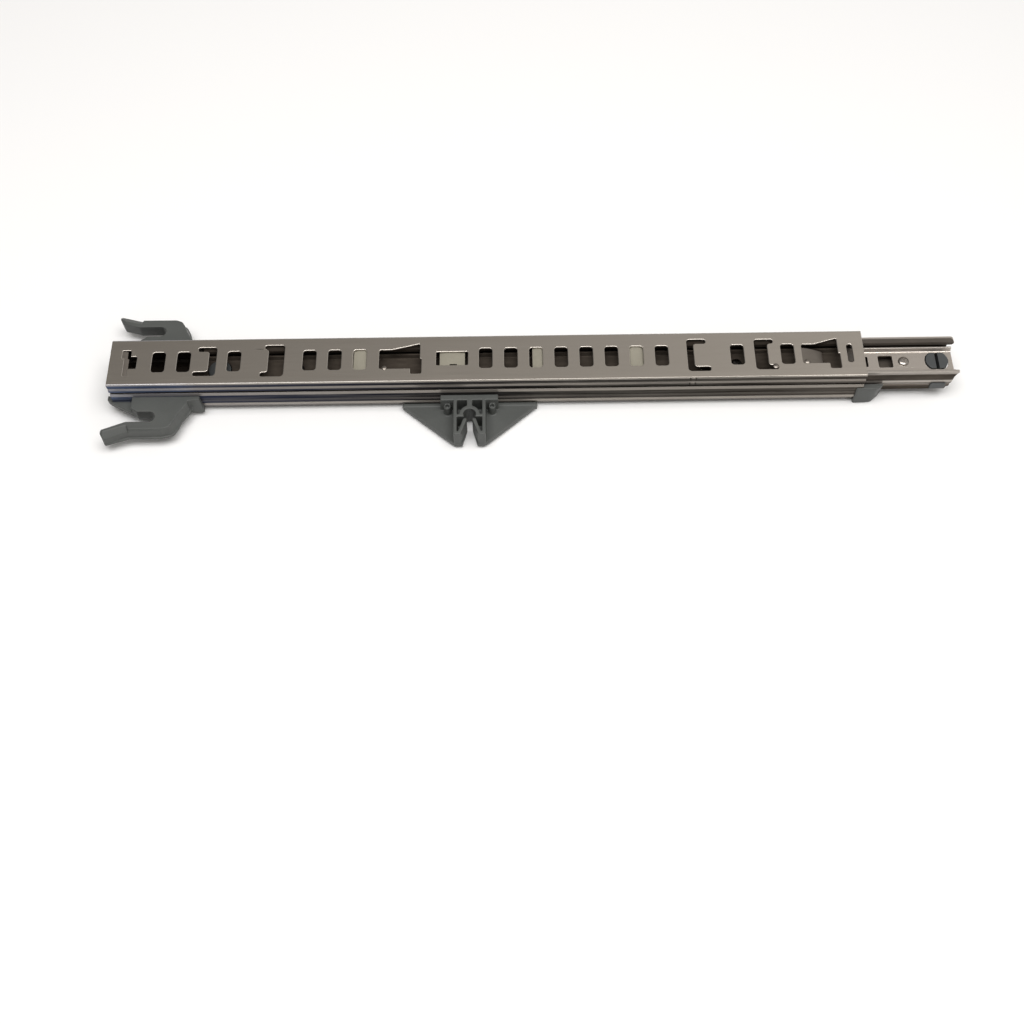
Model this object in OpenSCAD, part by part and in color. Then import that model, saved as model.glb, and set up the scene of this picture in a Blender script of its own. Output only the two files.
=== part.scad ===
// Over-and-under ball-bearing drawer slide.
// X runs along the rails towards the front, Y across them, Z up.
// The origin is at the middle of the rails, on the plane that the brackets stand on.
// Cross-section corners are written [y, depth, radius]: depth is measured down from the drawer rail's top.

/* [Rails] */
// Length of each rail
rail_len = 450; // [440:1:480]
// How far the middle rail stands out at the front when the other two are level
middle_lead = 55; // [40:1:70]
// Half the width over the drawer rail's flanges
rail_half_w = 16.5; // [16.3:0.1:16.6]
// Height of the drawer rail's top above the brackets' underside
top_z = 27.5; // [27.5:0.1:30]
// Sheet thickness of the three rails
sheet_t = 1.2; // [1.1:0.05:1.2]

/* [Ball rows] */
// Radius of the balls
ball_r = 1.9; // [1.7:0.05:1.9]
// Distance of each ball row from the middle plane
ball_y = 13.3; // [13.25:0.01:13.35]
// Depth of the upper ball rows
upper_ball_depth = 5.6; // [5.5:0.05:5.7]
// Depth of the lower ball rows
lower_ball_depth = 19.6; // [19.5:0.05:19.7]
// Distance between neighbouring balls
ball_pitch = 14; // [10:0.5:16]
// Balls in each row
ball_count = 12; // [4:1:12]

/* [Web holes] */
// Distance between neighbouring holes in the web
hole_pitch = 15; // [15:0.5:16]
// Length of a hole along the rail
hole_len = 8; // [6:0.1:9]
// Width of a hole across the rail
hole_w = 14.3; // [10:0.1:15]
// Distance of the first hole from the rail's rear end
hole_start = 29.4; // [28:0.1:31]

/* [Rear hook bracket] */
// Height of the hooks' top face
hook_top_z = 16.2; // [14:0.1:18]
// Thickness of the hook plates
hook_t = 8.8; // [6:0.1:10]
// Distance of the cabinet's pins from the middle plane
pin_y = 31; // [30.5:0.1:31.5]
// Width of the slots for those pins
pin_slot_w = 6.9; // [6:0.1:7]

/* [Snap clip] */
// Position of the snap ring along the rail
clip_x = -10.5; // [-20:0.5:0]
// Distance of the snap ring from the middle plane
clip_y = 31.6; // [31:0.1:32]
// Inner radius of the snap ring
clip_bore_r = 3.7; // [3.4:0.05:3.9]
// Outer radius of the snap ring
clip_ring_r = 6; // [5.6:0.1:6.2]
// Height of the clip's top face
clip_top_z = 15.5; // [14:0.1:17]

/* [End cap] */
// How far the end cap stands out past the cabinet rail
cap_nose = 14.4; // [10:0.1:18]

/* [Hidden] */

steel = "#8f8a82";
dark_steel = "#77736c";
zinc = "#a9a49b";
grey_plastic = "#5b5e5a";
cream_plastic = "#c9c2b0";

eps = 0.01;
end_x = rail_len / 2;
rear_x = -end_x;
middle_rear_x = rear_x + middle_lead;
middle_front_x = end_x + middle_lead;

// Clearances and track surfaces
track_gap = 0.15;
track_y = ball_y + ball_r + track_gap;
groove_y = ball_y - ball_r - track_gap;
outer_y = track_y + sheet_t;
bulge_y = 12.8;
lip_depth = 2.3;
drawer_side_end = 9.2;
cabinet_side_start = 9.9;
floor_depth = 9.5;
seam_depth = 15.4;
lower_web_depth = seam_depth + sheet_t;
cabinet_floor_depth = 24.8;
base_z = 0;

// Cages
strip_inner_y = 13.1;
strip_t = 0.75;
strip_outer_y = strip_inner_y + strip_t;
cage_gap = 0.2;
cage_t = 0.7;
upper_cage_x = 6.5;
lower_cage_x = 23;
cage_end_len = 11;
cage_len = ball_pitch * (ball_count - 1) + 2 * cage_end_len;
ball_hole_r = ball_r + 0.1;
upper_strip_end = 8.9;
lower_strip_top = 17.3;

// Fasteners
rivet_shank_r = 2.2;
rivet_head_r = 3.3;
rivet_head_h = 0.9;
joint_rivets_x = [-113, -34.5, 67, 150, 250.6];
bracket_rivets_x = [-203, -181];
clip_rivets_x = [-32, 12];

// Base plates under the cabinet rail
plate_top_z = top_z - cabinet_floor_depth - sheet_t - 0.05;

// ---- Geometry helpers ----

function unit(v) = v / norm(v);

// Arc that rounds the corner b between a and c, with the radius held in b[2]
function corner(a, b, c) =
    let(
        p = [b.x, b.y],
        u = unit([a.x, a.y] - p),
        v = unit([c.x, c.y] - p),
        half = acos(u * v) / 2,
        centre = p + unit(u + v) * b[2] / sin(half),
        start = p + u * b[2] / tan(half) - centre,
        from = atan2(start.y, start.x),
        turn = (u.x * v.y - u.y * v.x > 0 ? -1 : 1) * (180 - 2 * half),
        steps = max(1, ceil(abs(turn) / 18))
    )
    [for (i = [0:steps]) centre - b[2] * [-cos(from + turn * i / steps), -sin(from + turn * i / steps)]];

function wrap(points, i) = points[(i + len(points)) % len(points)];

// Open path with rounded inner corners
function rounded_path(points) = [
    for (i = [0:len(points) - 1])
        each i == 0 || i == len(points) - 1 || points[i][2] == 0
            ? [[points[i].x, points[i].y]]
            : corner(points[i - 1], points[i], points[i + 1])
];

// Closed outline with rounded corners
function rounded_loop(points) = [
    for (i = [0:len(points) - 1])
        each points[i][2] == 0
            ? [[points[i].x, points[i].y]]
            : corner(wrap(points, i - 1), points[i], wrap(points, i + 1))
];

// Whole cross-section from the half that runs from the middle plane and back to it
function both_sides(half) = concat(half, [for (i = [len(half) - 2:-1:1]) [-half[i].x, half[i].y]]);

// Solid of a cross-section between two stations along the rail
module rail(half, from_x, to_x) {
    translate([from_x, 0, 0])
        rotate([90, 0, 90])
            linear_extrude(to_x - from_x)
                polygon([for (p = both_sides(rounded_path(half))) [p.x, top_z - p.y]]);
}

// Upright prism between two heights
module prism(points, low_z, high_z) {
    translate([0, 0, low_z])
        linear_extrude(high_z - low_z)
            polygon(rounded_loop(points));
}

function rectangle(x0, x1, y0, y1, r) = [[x0, y0, r], [x1, y0, r], [x1, y1, r], [x0, y1, r]];

// ---- Rail cross-sections ----

drawer_half = [
    [0, 0, 0],
    [rail_half_w, 0, 1.5],
    [rail_half_w, 2.8, 0.6],
    [15.85, 4.2, 0.5],
    [outer_y, 5.9, 0.7],
    [outer_y, 7.4, 1.0],
    [15.3, drawer_side_end, 0],
    [14.35, 8.5, 0],
    [track_y, 7.0, 0.8],
    [track_y, 5.2, 0.8],
    [14.65, 3.9, 0.5],
    [rail_half_w - sheet_t, 2.6, 0.4],
    [rail_half_w - sheet_t, sheet_t, 0.4],
    [0, sheet_t, 0]
];

cabinet_half = [
    [0, cabinet_floor_depth, 0],
    [14.0, cabinet_floor_depth, 0.6],
    [track_y, 21.6, 1.2],
    [track_y, 18.6, 1.0],
    [14.6, 16.9, 0.8],
    [rail_half_w - sheet_t, 15.3, 0.8],
    [rail_half_w - sheet_t, cabinet_side_start, 0],
    [15.9, cabinet_side_start, 0],
    [rail_half_w, 12.2, 0.6],
    [rail_half_w, 15.4, 0.8],
    [15.85, 16.9, 0.6],
    [outer_y, 18.6, 0.8],
    [outer_y, 21.8, 1.5],
    [14.8, cabinet_floor_depth + sheet_t, 1.2],
    [0, cabinet_floor_depth + sheet_t, 0]
];

upper_half = [
    [0, floor_depth, 0],
    [7.0, floor_depth, 0.5],
    [8.0, 7.0, 0.5],
    [8.7, 7.0, 0.3],
    [9.5, 14.2, 0.3],
    [11.0, 14.2, 0.5],
    [bulge_y - sheet_t, 13.4, 0.4],
    [bulge_y - sheet_t, 9.2, 0.8],
    [groove_y - sheet_t, 6.9, 0.8],
    [groove_y - sheet_t, 4.4, 0.8],
    [bulge_y - sheet_t, lip_depth, 0],
    [bulge_y, lip_depth, 0],
    [bulge_y, 3.0, 0.3],
    [groove_y, 4.5, 0.8],
    [groove_y, 6.7, 0.8],
    [bulge_y, 8.9, 0.8],
    [bulge_y, 13.6, 0.8],
    [bulge_y - 0.4, seam_depth, 0.6],
    [8.4, seam_depth, 0.5],
    [7.7, floor_depth + sheet_t, 0.5],
    [0, floor_depth + sheet_t, 0]
];

lower_half = [
    [0, seam_depth, 0],
    [bulge_y - 0.3, seam_depth, 0.8],
    [bulge_y, 17.6, 0.8],
    [groove_y, 18.7, 1.0],
    [groove_y, 20.7, 1.0],
    [groove_y + 0.2, 21.9, 0],
    [groove_y - sheet_t + 0.1, 21.9, 0],
    [groove_y - sheet_t, 20.7, 0.6],
    [groove_y - sheet_t, 18.9, 0.6],
    [bulge_y - sheet_t - 0.4, 17.8, 0.5],
    [bulge_y - sheet_t - 0.4, lower_web_depth, 0.4],
    [0, lower_web_depth, 0]
];

// ---- Drawer rail ----

hole_corner_r = 1.8;
hole_stations = [0, 1, 3, 6, 7, 8, 13, 14, 15, 16, 17, 18, 19, 20, 23, 25];
function hole_x(i) = rear_x + hole_start + hole_pitch * i;

function web_hole(x) = rectangle(x - hole_len / 2, x + hole_len / 2, -hole_w / 2, hole_w / 2, hole_corner_r);

// Keyed slot near the rear end
keyed_slot = [
    [-217.7, 8.7, 0.4], [-212.4, 8.7, 0.8], [-212.4, 4.3, 0.4], [-208.6, 4.3, 0.8],
    [-208.6, -4.4, 0.8], [-213.6, -4.4, 0.4], [-213.6, -9.5, 0.4], [-216.1, -9.5, 0.4],
    [-216.1, 2.9, 0.4], [-217.7, 2.9, 0.4]
];

// Slot on three sides of a tab; side is 1 with the arms towards +X
function tab_slot(x, side, w, arm, y, arm_w) = [
    [x, y, 0.6], [x + side * arm, y, 0.8], [x + side * arm, y - arm_w, 0.8],
    [x + side * w, y - arm_w, 1.0], [x + side * w, -y + arm_w, 1.0],
    [x + side * (arm + 2), -y + arm_w, 0.8], [x + side * (arm + 2), -y, 0.8], [x, -y, 0.6]
];

// Funnel-shaped window for a hook of the drawer
function funnel_window(x, len) = [
    [x, 6.8, 1.2], [x + 7.5, 6.8, 1.0], [x + 14, 10.4, 1.5], [x + len - 2.5, 10.6, 1.0],
    [x + len - 1, 0.4, 0.5], [x + len, 0.2, 0.5], [x + len, -10.6, 1.0], [x + len - 6.6, -10.6, 1.0],
    [x + len - 6.6, -6.8, 0.6], [x, -6.8, 1.2]
];

web_windows = [
    keyed_slot,
    tab_slot(-161.2, -1, 4.1, 11.3, 10.2, 2.6),
    tab_slot(-120.7, -1, 9.5, 11.9, 11.2, 2.4),
    funnel_window(-64.1, 25.3),
    rectangle(-30.1, -11.1, -4.85, 4.85, 0.8),
    tab_slot(119.6, 1, 3.6, 11.4, 11.3, 2.7),
    tab_slot(159.9, 1, 7.7, 11.3, 10.6, 2.5),
    funnel_window(187.9, 22.6),
    rectangle(214.8, 218.2, -6.6, 6.6, 1.65)
];

module web_cut(points) {
    prism(points, top_z - sheet_t - 0.3, top_z + 0.5);
}

module drawer_rail() {
    color(steel)
        difference() {
            rail(drawer_half, rear_x, end_x);
            for (i = hole_stations)
                web_cut(web_hole(hole_x(i)));
            for (window = web_windows)
                web_cut(window);
        }
}

// ---- Middle rail ----

slit_x = 228.5;
square_hole_x = 239.8;
plug_x = middle_front_x - 9.5;
plug_r = 6.7;
plug_half_w = 5.5;
rear_plug_x = middle_rear_x + 9.5;
nose_x = middle_front_x + 1.5;
floor_edge_y = 9.2;

// Stops: a block below, a slotted plug through both floors and a tab on each side
stop_len = 10.4;
stop_bottom_depth = 21.6;
plug_slot_w = 1.8;
plug_stand_out = 0.9;
stop_tab_len = 9;
tab_outer_y = 13.5;
tab_top_depth = 10.8;
tab_arm_depth = 18.9;
tab_arm_t = 2;
arm_clearance = 0.1;

module upper_floor_cut(points) {
    prism(points, top_z - floor_depth - sheet_t - 0.4, top_z - floor_depth + 0.5);
}

// Round hole with two flats that takes a stop's plug
module plug_hole(x, low_z, high_z) {
    translate([x, 0, low_z])
        linear_extrude(high_z - low_z)
            intersection() {
                circle(r = plug_r + 0.15, $fn = 48);
                square([4 * plug_r, 2 * plug_half_w + 0.3], center = true);
            }
}

// Side view, as [x, depth], of what is cut away in front of the flanges' rounded noses
function nose_cut(x) = rounded_loop([
    [x - 8, lip_depth - 1, 0], [x - 8, lip_depth, 0], [x, lip_depth, 3], [x, 6, 1.5],
    [x - 2.8, 8.6, 1.5], [x - 3.2, 13.4, 1], [x - 5.2, 22.5, 0], [x + 1, 22.5, 0],
    [x + 1, lip_depth - 1, 0]
]);

module cut_noses(low_y) {
    for (side = [0, 1])
        mirror([0, side, 0])
            translate([0, 20, 0])
                rotate([90, 0, 0])
                    linear_extrude(20 - low_y)
                        polygon([for (p = nose_cut(nose_x)) [p.x, top_z - p.y]]);
}

// Openings in the lower half's sides for the stops' arms
module arm_windows(x) {
    for (side = [0, 1])
        mirror([0, side, 0])
            translate([
                x - stop_tab_len / 2 - arm_clearance, groove_y - 2 * sheet_t,
                top_z - tab_arm_depth - arm_clearance
            ])
                cube([stop_tab_len + 2 * arm_clearance, 4, tab_arm_t + 2 * arm_clearance]);
}

module middle_rail_upper() {
    color(steel)
        difference() {
            rail(upper_half, middle_rear_x, nose_x);
            cut_noses(floor_edge_y);
            translate([middle_front_x, -floor_edge_y - eps, 0])
                cube([5, 2 * (floor_edge_y + eps), top_z]);
            upper_floor_cut(rectangle(slit_x - 0.85, slit_x + 0.85, -3.75, 3.75, 0.6));
            upper_floor_cut(rectangle(square_hole_x - 4.4, square_hole_x + 4.4, -4.35, 4.35, 1));
            for (x = joint_rivets_x)
                translate([x, 0, top_z - floor_depth - sheet_t - 1])
                    cylinder(r = rivet_shank_r, h = sheet_t + 2, $fn = 32);
            for (x = [plug_x, rear_plug_x])
                plug_hole(x, top_z - floor_depth - sheet_t - 1, top_z - floor_depth + 1);
        }
}

module middle_rail_lower() {
    color(dark_steel)
        difference() {
            rail(lower_half, middle_rear_x, nose_x);
            cut_noses(-1);
            for (x = [plug_x, rear_plug_x])
                arm_windows(x);
            for (x = joint_rivets_x)
                translate([x, 0, top_z - lower_web_depth - 1])
                    cylinder(r = rivet_shank_r, h = sheet_t + 2, $fn = 32);
            for (x = [plug_x, rear_plug_x])
                plug_hole(x, top_z - lower_web_depth - 1, top_z - seam_depth + 1);
        }
}

// Rivet standing on the upper floor with its tail spread under the lower web
module joining_rivet(x) {
    head_z = top_z - floor_depth;
    tail_z = top_z - lower_web_depth - rivet_head_h;
    recess_w = 0.9;
    recess_len = 3.4;
    difference() {
        union() {
            translate([x, 0, tail_z + eps])
                cylinder(r = rivet_shank_r - 0.02, h = head_z - tail_z, $fn = 32);
            translate([x, 0, head_z])
                cylinder(r = rivet_head_r, h = rivet_head_h, $fn = 32);
            translate([x, 0, tail_z])
                cylinder(r = rivet_head_r, h = rivet_head_h, $fn = 32);
            translate([x, 0, top_z - seam_depth])
                cylinder(r = rivet_head_r, h = seam_depth - floor_depth - sheet_t, $fn = 32);
        }
        for (angle = [0, 90])
            translate([x, 0, head_z + rivet_head_h])
                rotate([0, 0, angle])
                    cube([recess_len, recess_w, 1.4], center = true);
    }
}

module joining_rivets() {
    color(zinc)
        for (x = joint_rivets_x)
            joining_rivet(x);
}

// Moulded stop: a block under the lower web, a split plug up through both floors and a tab on each side
module stop(x) {
    block_top_z = top_z - lower_web_depth - 0.02;
    block_bottom_z = top_z - stop_bottom_depth;
    block_half_w = groove_y - sheet_t - 0.3;
    difference() {
        union() {
            translate([x - stop_len / 2, -block_half_w, block_bottom_z])
                cube([stop_len, 2 * block_half_w, block_top_z - block_bottom_z]);
            translate([x, 0, block_top_z - eps])
                linear_extrude(top_z - floor_depth + plug_stand_out - block_top_z)
                    intersection() {
                        circle(r = plug_r, $fn = 48);
                        square([4 * plug_r, 2 * plug_half_w], center = true);
                    }
        }
        translate([x - plug_slot_w / 2, -2 * plug_r, top_z - seam_depth])
            cube([plug_slot_w, 4 * plug_r, seam_depth]);
    }
    for (side = [0, 1])
        mirror([0, side, 0]) {
            translate([x - stop_tab_len / 2, block_half_w - eps, top_z - tab_arm_depth])
                cube([stop_tab_len, tab_outer_y - block_half_w, tab_arm_t]);
            prism(rectangle(x - stop_tab_len / 2, x + stop_tab_len / 2, bulge_y + 0.02, tab_outer_y, 0),
                top_z - tab_arm_depth, top_z - tab_top_depth);
        }
}

module front_stop() {
    color(grey_plastic)
        stop(plug_x);
}

module rear_stop() {
    color(grey_plastic)
        stop(rear_plug_x);
}

// ---- Ball cages ----

// Bridges, counted from the cage's middle
bridge_offsets = [-81.5, -27, 24.6, 82.5];
bridge_widths = [9, 15, 7.5, 9];

// Stations of the balls, counted from the cage's middle
function ball_offset(i) = ball_pitch * (i - (ball_count - 1) / 2);

// Side strip with a row of ball holes
module cage_strip(low_depth, high_depth, row_depth) {
    difference() {
        translate([-cage_len / 2, strip_inner_y, top_z - high_depth])
            cube([cage_len, strip_t, high_depth - low_depth]);
        for (i = [0:ball_count - 1])
            translate([ball_offset(i), strip_inner_y - 1, top_z - row_depth])
                rotate([-90, 0, 0])
                    cylinder(r = ball_hole_r, h = strip_t + 2, $fn = 32);
    }
}

// Ladder cage: cross bridges at one depth and a strip on each side
module cage(middle_x, bridge_depth, low_depth, high_depth, row_depth) {
    translate([middle_x, 0, 0]) {
        for (i = [0:len(bridge_offsets) - 1])
            translate([bridge_offsets[i], 0, top_z - bridge_depth - cage_t / 2])
                cube([bridge_widths[i], 2 * strip_outer_y, cage_t], center = true);
        for (side = [0, 1])
            mirror([0, side, 0])
                cage_strip(low_depth, high_depth, row_depth);
    }
}

upper_bridge_depth = sheet_t + cage_gap;
lower_strip_end = cabinet_floor_depth - cage_gap;
lower_bridge_depth = lower_strip_end - cage_t;

module upper_cage() {
    color(cream_plastic)
        cage(upper_cage_x, upper_bridge_depth, upper_bridge_depth, upper_strip_end, upper_ball_depth);
}

module lower_cage() {
    color(cream_plastic)
        cage(lower_cage_x, lower_bridge_depth, lower_strip_top, lower_strip_end, lower_ball_depth);
}

// Row of balls on one side of the middle plane
module ball_row(middle_x, side, row_depth) {
    color(zinc)
        for (i = [0:ball_count - 1])
            translate([middle_x + ball_offset(i), side * ball_y, top_z - row_depth])
                sphere(r = ball_r, $fn = 32);
}

module upper_near_balls() {
    ball_row(upper_cage_x, -1, upper_ball_depth);
}

module upper_far_balls() {
    ball_row(upper_cage_x, 1, upper_ball_depth);
}

module lower_near_balls() {
    ball_row(lower_cage_x, -1, lower_ball_depth);
}

module lower_far_balls() {
    ball_row(lower_cage_x, 1, lower_ball_depth);
}

// Light barrel rollers that hang under two of the upper cage's bridges
module cage_rollers() {
    roller_r = 2.4;
    roller_len = 10;
    color(cream_plastic)
        for (offset = [bridge_offsets[2], bridge_offsets[3]])
            translate([upper_cage_x + offset, 0, top_z - upper_bridge_depth - cage_t - roller_r - 0.05])
                rotate([90, 0, 0])
                    cylinder(r = roller_r, h = roller_len, center = true, $fn = 32);
}

// ---- Cabinet rail and what is fixed to it ----

module cabinet_rail() {
    color(steel)
        difference() {
            rail(cabinet_half, rear_x, end_x);
            for (x = concat(bracket_rivets_x, clip_rivets_x))
                translate([x, 0, top_z - cabinet_floor_depth - sheet_t - 1])
                    cylinder(r = rivet_shank_r, h = sheet_t + 2, $fn = 32);
        }
}

// Flat rivet through the cabinet rail's floor and the plate under it
module floor_rivet(x) {
    head_h = 0.4;
    translate([x, 0, base_z + 0.15])
        cylinder(r = rivet_shank_r - 0.02, h = top_z - cabinet_floor_depth - base_z, $fn = 32);
    translate([x, 0, top_z - cabinet_floor_depth - head_h / 2])
        cylinder(r = rivet_shank_r - 0.02, h = head_h / 2 + 0.1, $fn = 32);
}

module bracket_rivets() {
    color(zinc)
        for (x = bracket_rivets_x)
            floor_rivet(x);
}

module clip_rivets() {
    color(zinc)
        for (x = clip_rivets_x)
            floor_rivet(x);
}

slot_near_y = -(pin_y - pin_slot_w / 2);
slot_far_y = -(pin_y + pin_slot_w / 2);
slot_end_x = -200.5;
cheek_y = 16.9;
cheek_rear_x = -212;
cheek_front_x = -171.7;
cheek_top_y = 20;
cheek_foot_y = 18;
cheek_step_z = 4.5;
foot_t = 3;

// Plan of the near hook, without its slot
hook_plan = [
    [cheek_rear_x, -cheek_y, 0], [cheek_rear_x, -24.8, 1.5], [-208.6, -27.1, 0], [-208.6, slot_near_y, 0],
    [-200, slot_near_y, 0], [-200, slot_far_y, 0], [-213.9, slot_far_y, 2], [-228.4, -40.2, 1.5],
    [-225.7, -45, 1.5], [-213, -40.7, 3], [-193, -40.6, 4], [-187.7, -38.8, 2],
    [-185, -33.8, 2], [-183.9, -30.3, 2], [-178.6, -21.7, 1.5], [-178.6, -cheek_top_y, 0],
    [cheek_front_x, -cheek_top_y, 1], [cheek_front_x, -cheek_y, 0]
];

// Plan of the gusset that wraps the rail's rear corner and runs out to the hook
gusset_plan = [
    [-228.2, -12.8, 0.5], [-228.2, -15.6, 1.5], [-225.7, -17.8, 2], [-209, -26.8, 0], [-204, -24, 0],
    [-204, -cheek_y, 0], [rear_x - 0.05, -cheek_y, 0], [rear_x - 0.05, -12.8, 0.3]
];
gusset_top_z = top_z - 16.2;
gusset_t = 3.6;

// The cabinet rail's outside with a little clearance, open above
rail_seat = [[0, 8.9, 0], [16.65, 8.9, 0], [16.65, 23, 2], [15.4, 26.1, 1], [0, 26.1, 0]];

function cheek(y0, y1) = rectangle(cheek_rear_x, cheek_front_x, y0, y1, 0);

module hook() {
    difference() {
        union() {
            prism(hook_plan, hook_top_z - hook_t, hook_top_z);
            prism(cheek(-cheek_top_y, -cheek_y), base_z + cheek_step_z, hook_top_z);
            prism(cheek(-cheek_foot_y, -cheek_y), base_z, hook_top_z);
            prism(cheek(-cheek_foot_y, 0), base_z, base_z + foot_t);
            prism(gusset_plan, gusset_top_z - gusset_t, gusset_top_z);
        }
        translate([slot_end_x, -pin_y, hook_top_z - hook_t - 1])
            cylinder(r = pin_slot_w / 2, h = hook_t + 2, $fn = 48);
        prism(rectangle(-216, slot_end_x, slot_far_y, slot_near_y, 0), hook_top_z - hook_t - 1,
            hook_top_z + 1);
        rail(rail_seat, rear_x - 0.05, end_x);
    }
}

module rear_hook_bracket() {
    color(grey_plastic)
        difference() {
            union() {
                hook();
                mirror([0, 1, 0])
                    hook();
            }
            for (x = bracket_rivets_x)
                translate([x, 0, base_z - 1])
                    cylinder(r = rivet_shank_r, h = foot_t + 1, $fn = 32);
        }
}

// Snap clip: a box with a C-shaped ring and a V-shaped lead-in, on a winged plate
wing_top_z = 4.8;
box_half_w = 9.6;
box_wall = 2.1;
box_end_y = -45.8;
bar_near_y = -21.8;
bar_far_y = -17.2;
mouth_half = 1.35;
plate_rear_x = -50.6;
plate_front_x = 30;
plate_edge_y = 19;
lift = 1.7;
ear_r = 2.3;
ear_h = 11;
ear_offset = 13.8;

wing_plan = [
    [plate_rear_x, -cheek_y, 1], [plate_rear_x, -plate_edge_y, 1], [-21.5, -44.5, 1.5],
    [-19, -46, 1.5], [-2, -46, 1.5], [0.5, -44.5, 1.5], [plate_front_x, -plate_edge_y, 1],
    [plate_front_x, -cheek_y, 1]
];

// Plan of the V that leads a pin up to the ring's jaws
lead_in = [
    [clip_x - mouth_half, -clip_y - 2, 0], [clip_x + mouth_half, -clip_y - 2, 0],
    [clip_x + mouth_half + 0.3, -clip_y - 4, 0], [clip_x + 5, -48, 0], [clip_x - 5, -48, 0],
    [clip_x - mouth_half - 0.3, -clip_y - 4, 0]
];
arm_top_y = -clip_y - 3;
arm_end_y = -45;

module clip_box() {
    difference() {
        prism(rectangle(clip_x - box_half_w, clip_x + box_half_w, box_end_y, bar_near_y + eps, 0.6),
            base_z + lift, clip_top_z);
        prism(rectangle(clip_x - box_half_w + box_wall, clip_x + box_half_w - box_wall, box_end_y - 1,
            bar_near_y, 0), wing_top_z, clip_top_z + 1);
    }
}

// Arch of the snap ring with the stem and the bars that tie it to the box
module snap_arch() {
    bar_w = 1.9;
    translate([clip_x, -clip_y, base_z + lift])
        linear_extrude(clip_top_z - base_z - lift) {
            intersection() {
                circle(r = clip_ring_r, $fn = 64);
                translate([-clip_ring_r, -bar_w])
                    square([2 * clip_ring_r, clip_ring_r + bar_w]);
            }
            translate([-box_half_w + 1, -bar_w])
                square([2 * box_half_w - 2, bar_w]);
            translate([-1.6, clip_ring_r - 1])
                square([3.2, clip_y + bar_near_y - clip_ring_r + 1.5]);
        }
}

// Springy arm from the end of the box's wall back up to a jaw
module snap_arm(side) {
    prism([
        [clip_x + side * mouth_half, arm_top_y, 0.6], [clip_x + side * 3.7, arm_top_y, 0.9],
        [clip_x + side * 6.7, arm_end_y + 1.5, 0], [clip_x + side * (box_half_w - 0.5), arm_end_y + 0.8, 0],
        [clip_x + side * (box_half_w - 0.5), box_end_y, 0.5], [clip_x + side * 5.2, box_end_y, 1]
    ], base_z + lift, clip_top_z);
}

module snap_clip() {
    color(grey_plastic)
        difference() {
            union() {
                prism(rectangle(clip_x - 17.4, clip_x + 17, bar_near_y, bar_far_y, 0), base_z, clip_top_z);
                prism(rectangle(plate_rear_x, plate_front_x, -18.4, 17.8, 0), base_z, plate_top_z);
                prism(rectangle(plate_rear_x, plate_front_x, -plate_edge_y, -17, 0), base_z, wing_top_z);
                prism(wing_plan, base_z + lift, wing_top_z);
                clip_box();
                snap_arch();
                for (side = [-1, 1]) {
                    snap_arm(side);
                    translate([clip_x + side * ear_offset, bar_near_y - 1.4, base_z + lift])
                        cylinder(r = ear_r, h = ear_h, $fn = 32);
                }
            }
            translate([clip_x, -clip_y, base_z - 1])
                cylinder(r = clip_bore_r, h = clip_top_z + 2, $fn = 64);
            prism(lead_in, base_z - 1, clip_top_z + 1);
            for (x = clip_rivets_x)
                translate([x, 0, base_z - 1])
                    cylinder(r = rivet_shank_r, h = 4, $fn = 32);
        }
}

// Shoe round the cabinet rail's front end, open above so that the middle rail passes through
module front_end_cap() {
    cap_rear_x = end_x - 4;
    cap_front_x = end_x + cap_nose;
    cap_half_w = 17.7;
    nose_half_w = 12;
    nose_slant = 7;
    cap_top_z = top_z - 12.6;
    cap_bottom_z = 0.3;
    plan = [
        [cap_rear_x, -cap_half_w, 0.8], [cap_front_x - nose_slant, -cap_half_w, 6],
        [cap_front_x, -nose_half_w, 4], [cap_front_x, nose_half_w, 4],
        [cap_front_x - nose_slant, cap_half_w, 6], [cap_rear_x, cap_half_w, 0.8]
    ];
    color(grey_plastic)
        difference() {
            prism(plan, cap_bottom_z, cap_top_z);
            rail(rail_seat, cap_rear_x - 1, end_x + 0.05);
            rail([[0, 8.9, 0], [14, 8.9, 0], [14, 23.6, 1], [0, 23.6, 0]], end_x - 1, cap_front_x + 1);
        }
}

cabinet_rail();
rear_hook_bracket();
bracket_rivets();
snap_clip();
clip_rivets();
front_end_cap();
lower_cage();
lower_near_balls();
lower_far_balls();
middle_rail_upper();
middle_rail_lower();
joining_rivets();
front_stop();
rear_stop();
upper_cage();
upper_near_balls();
upper_far_balls();
cage_rollers();
drawer_rail();
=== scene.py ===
import math

import bmesh
import bpy
from mathutils import Matrix, Vector


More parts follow.
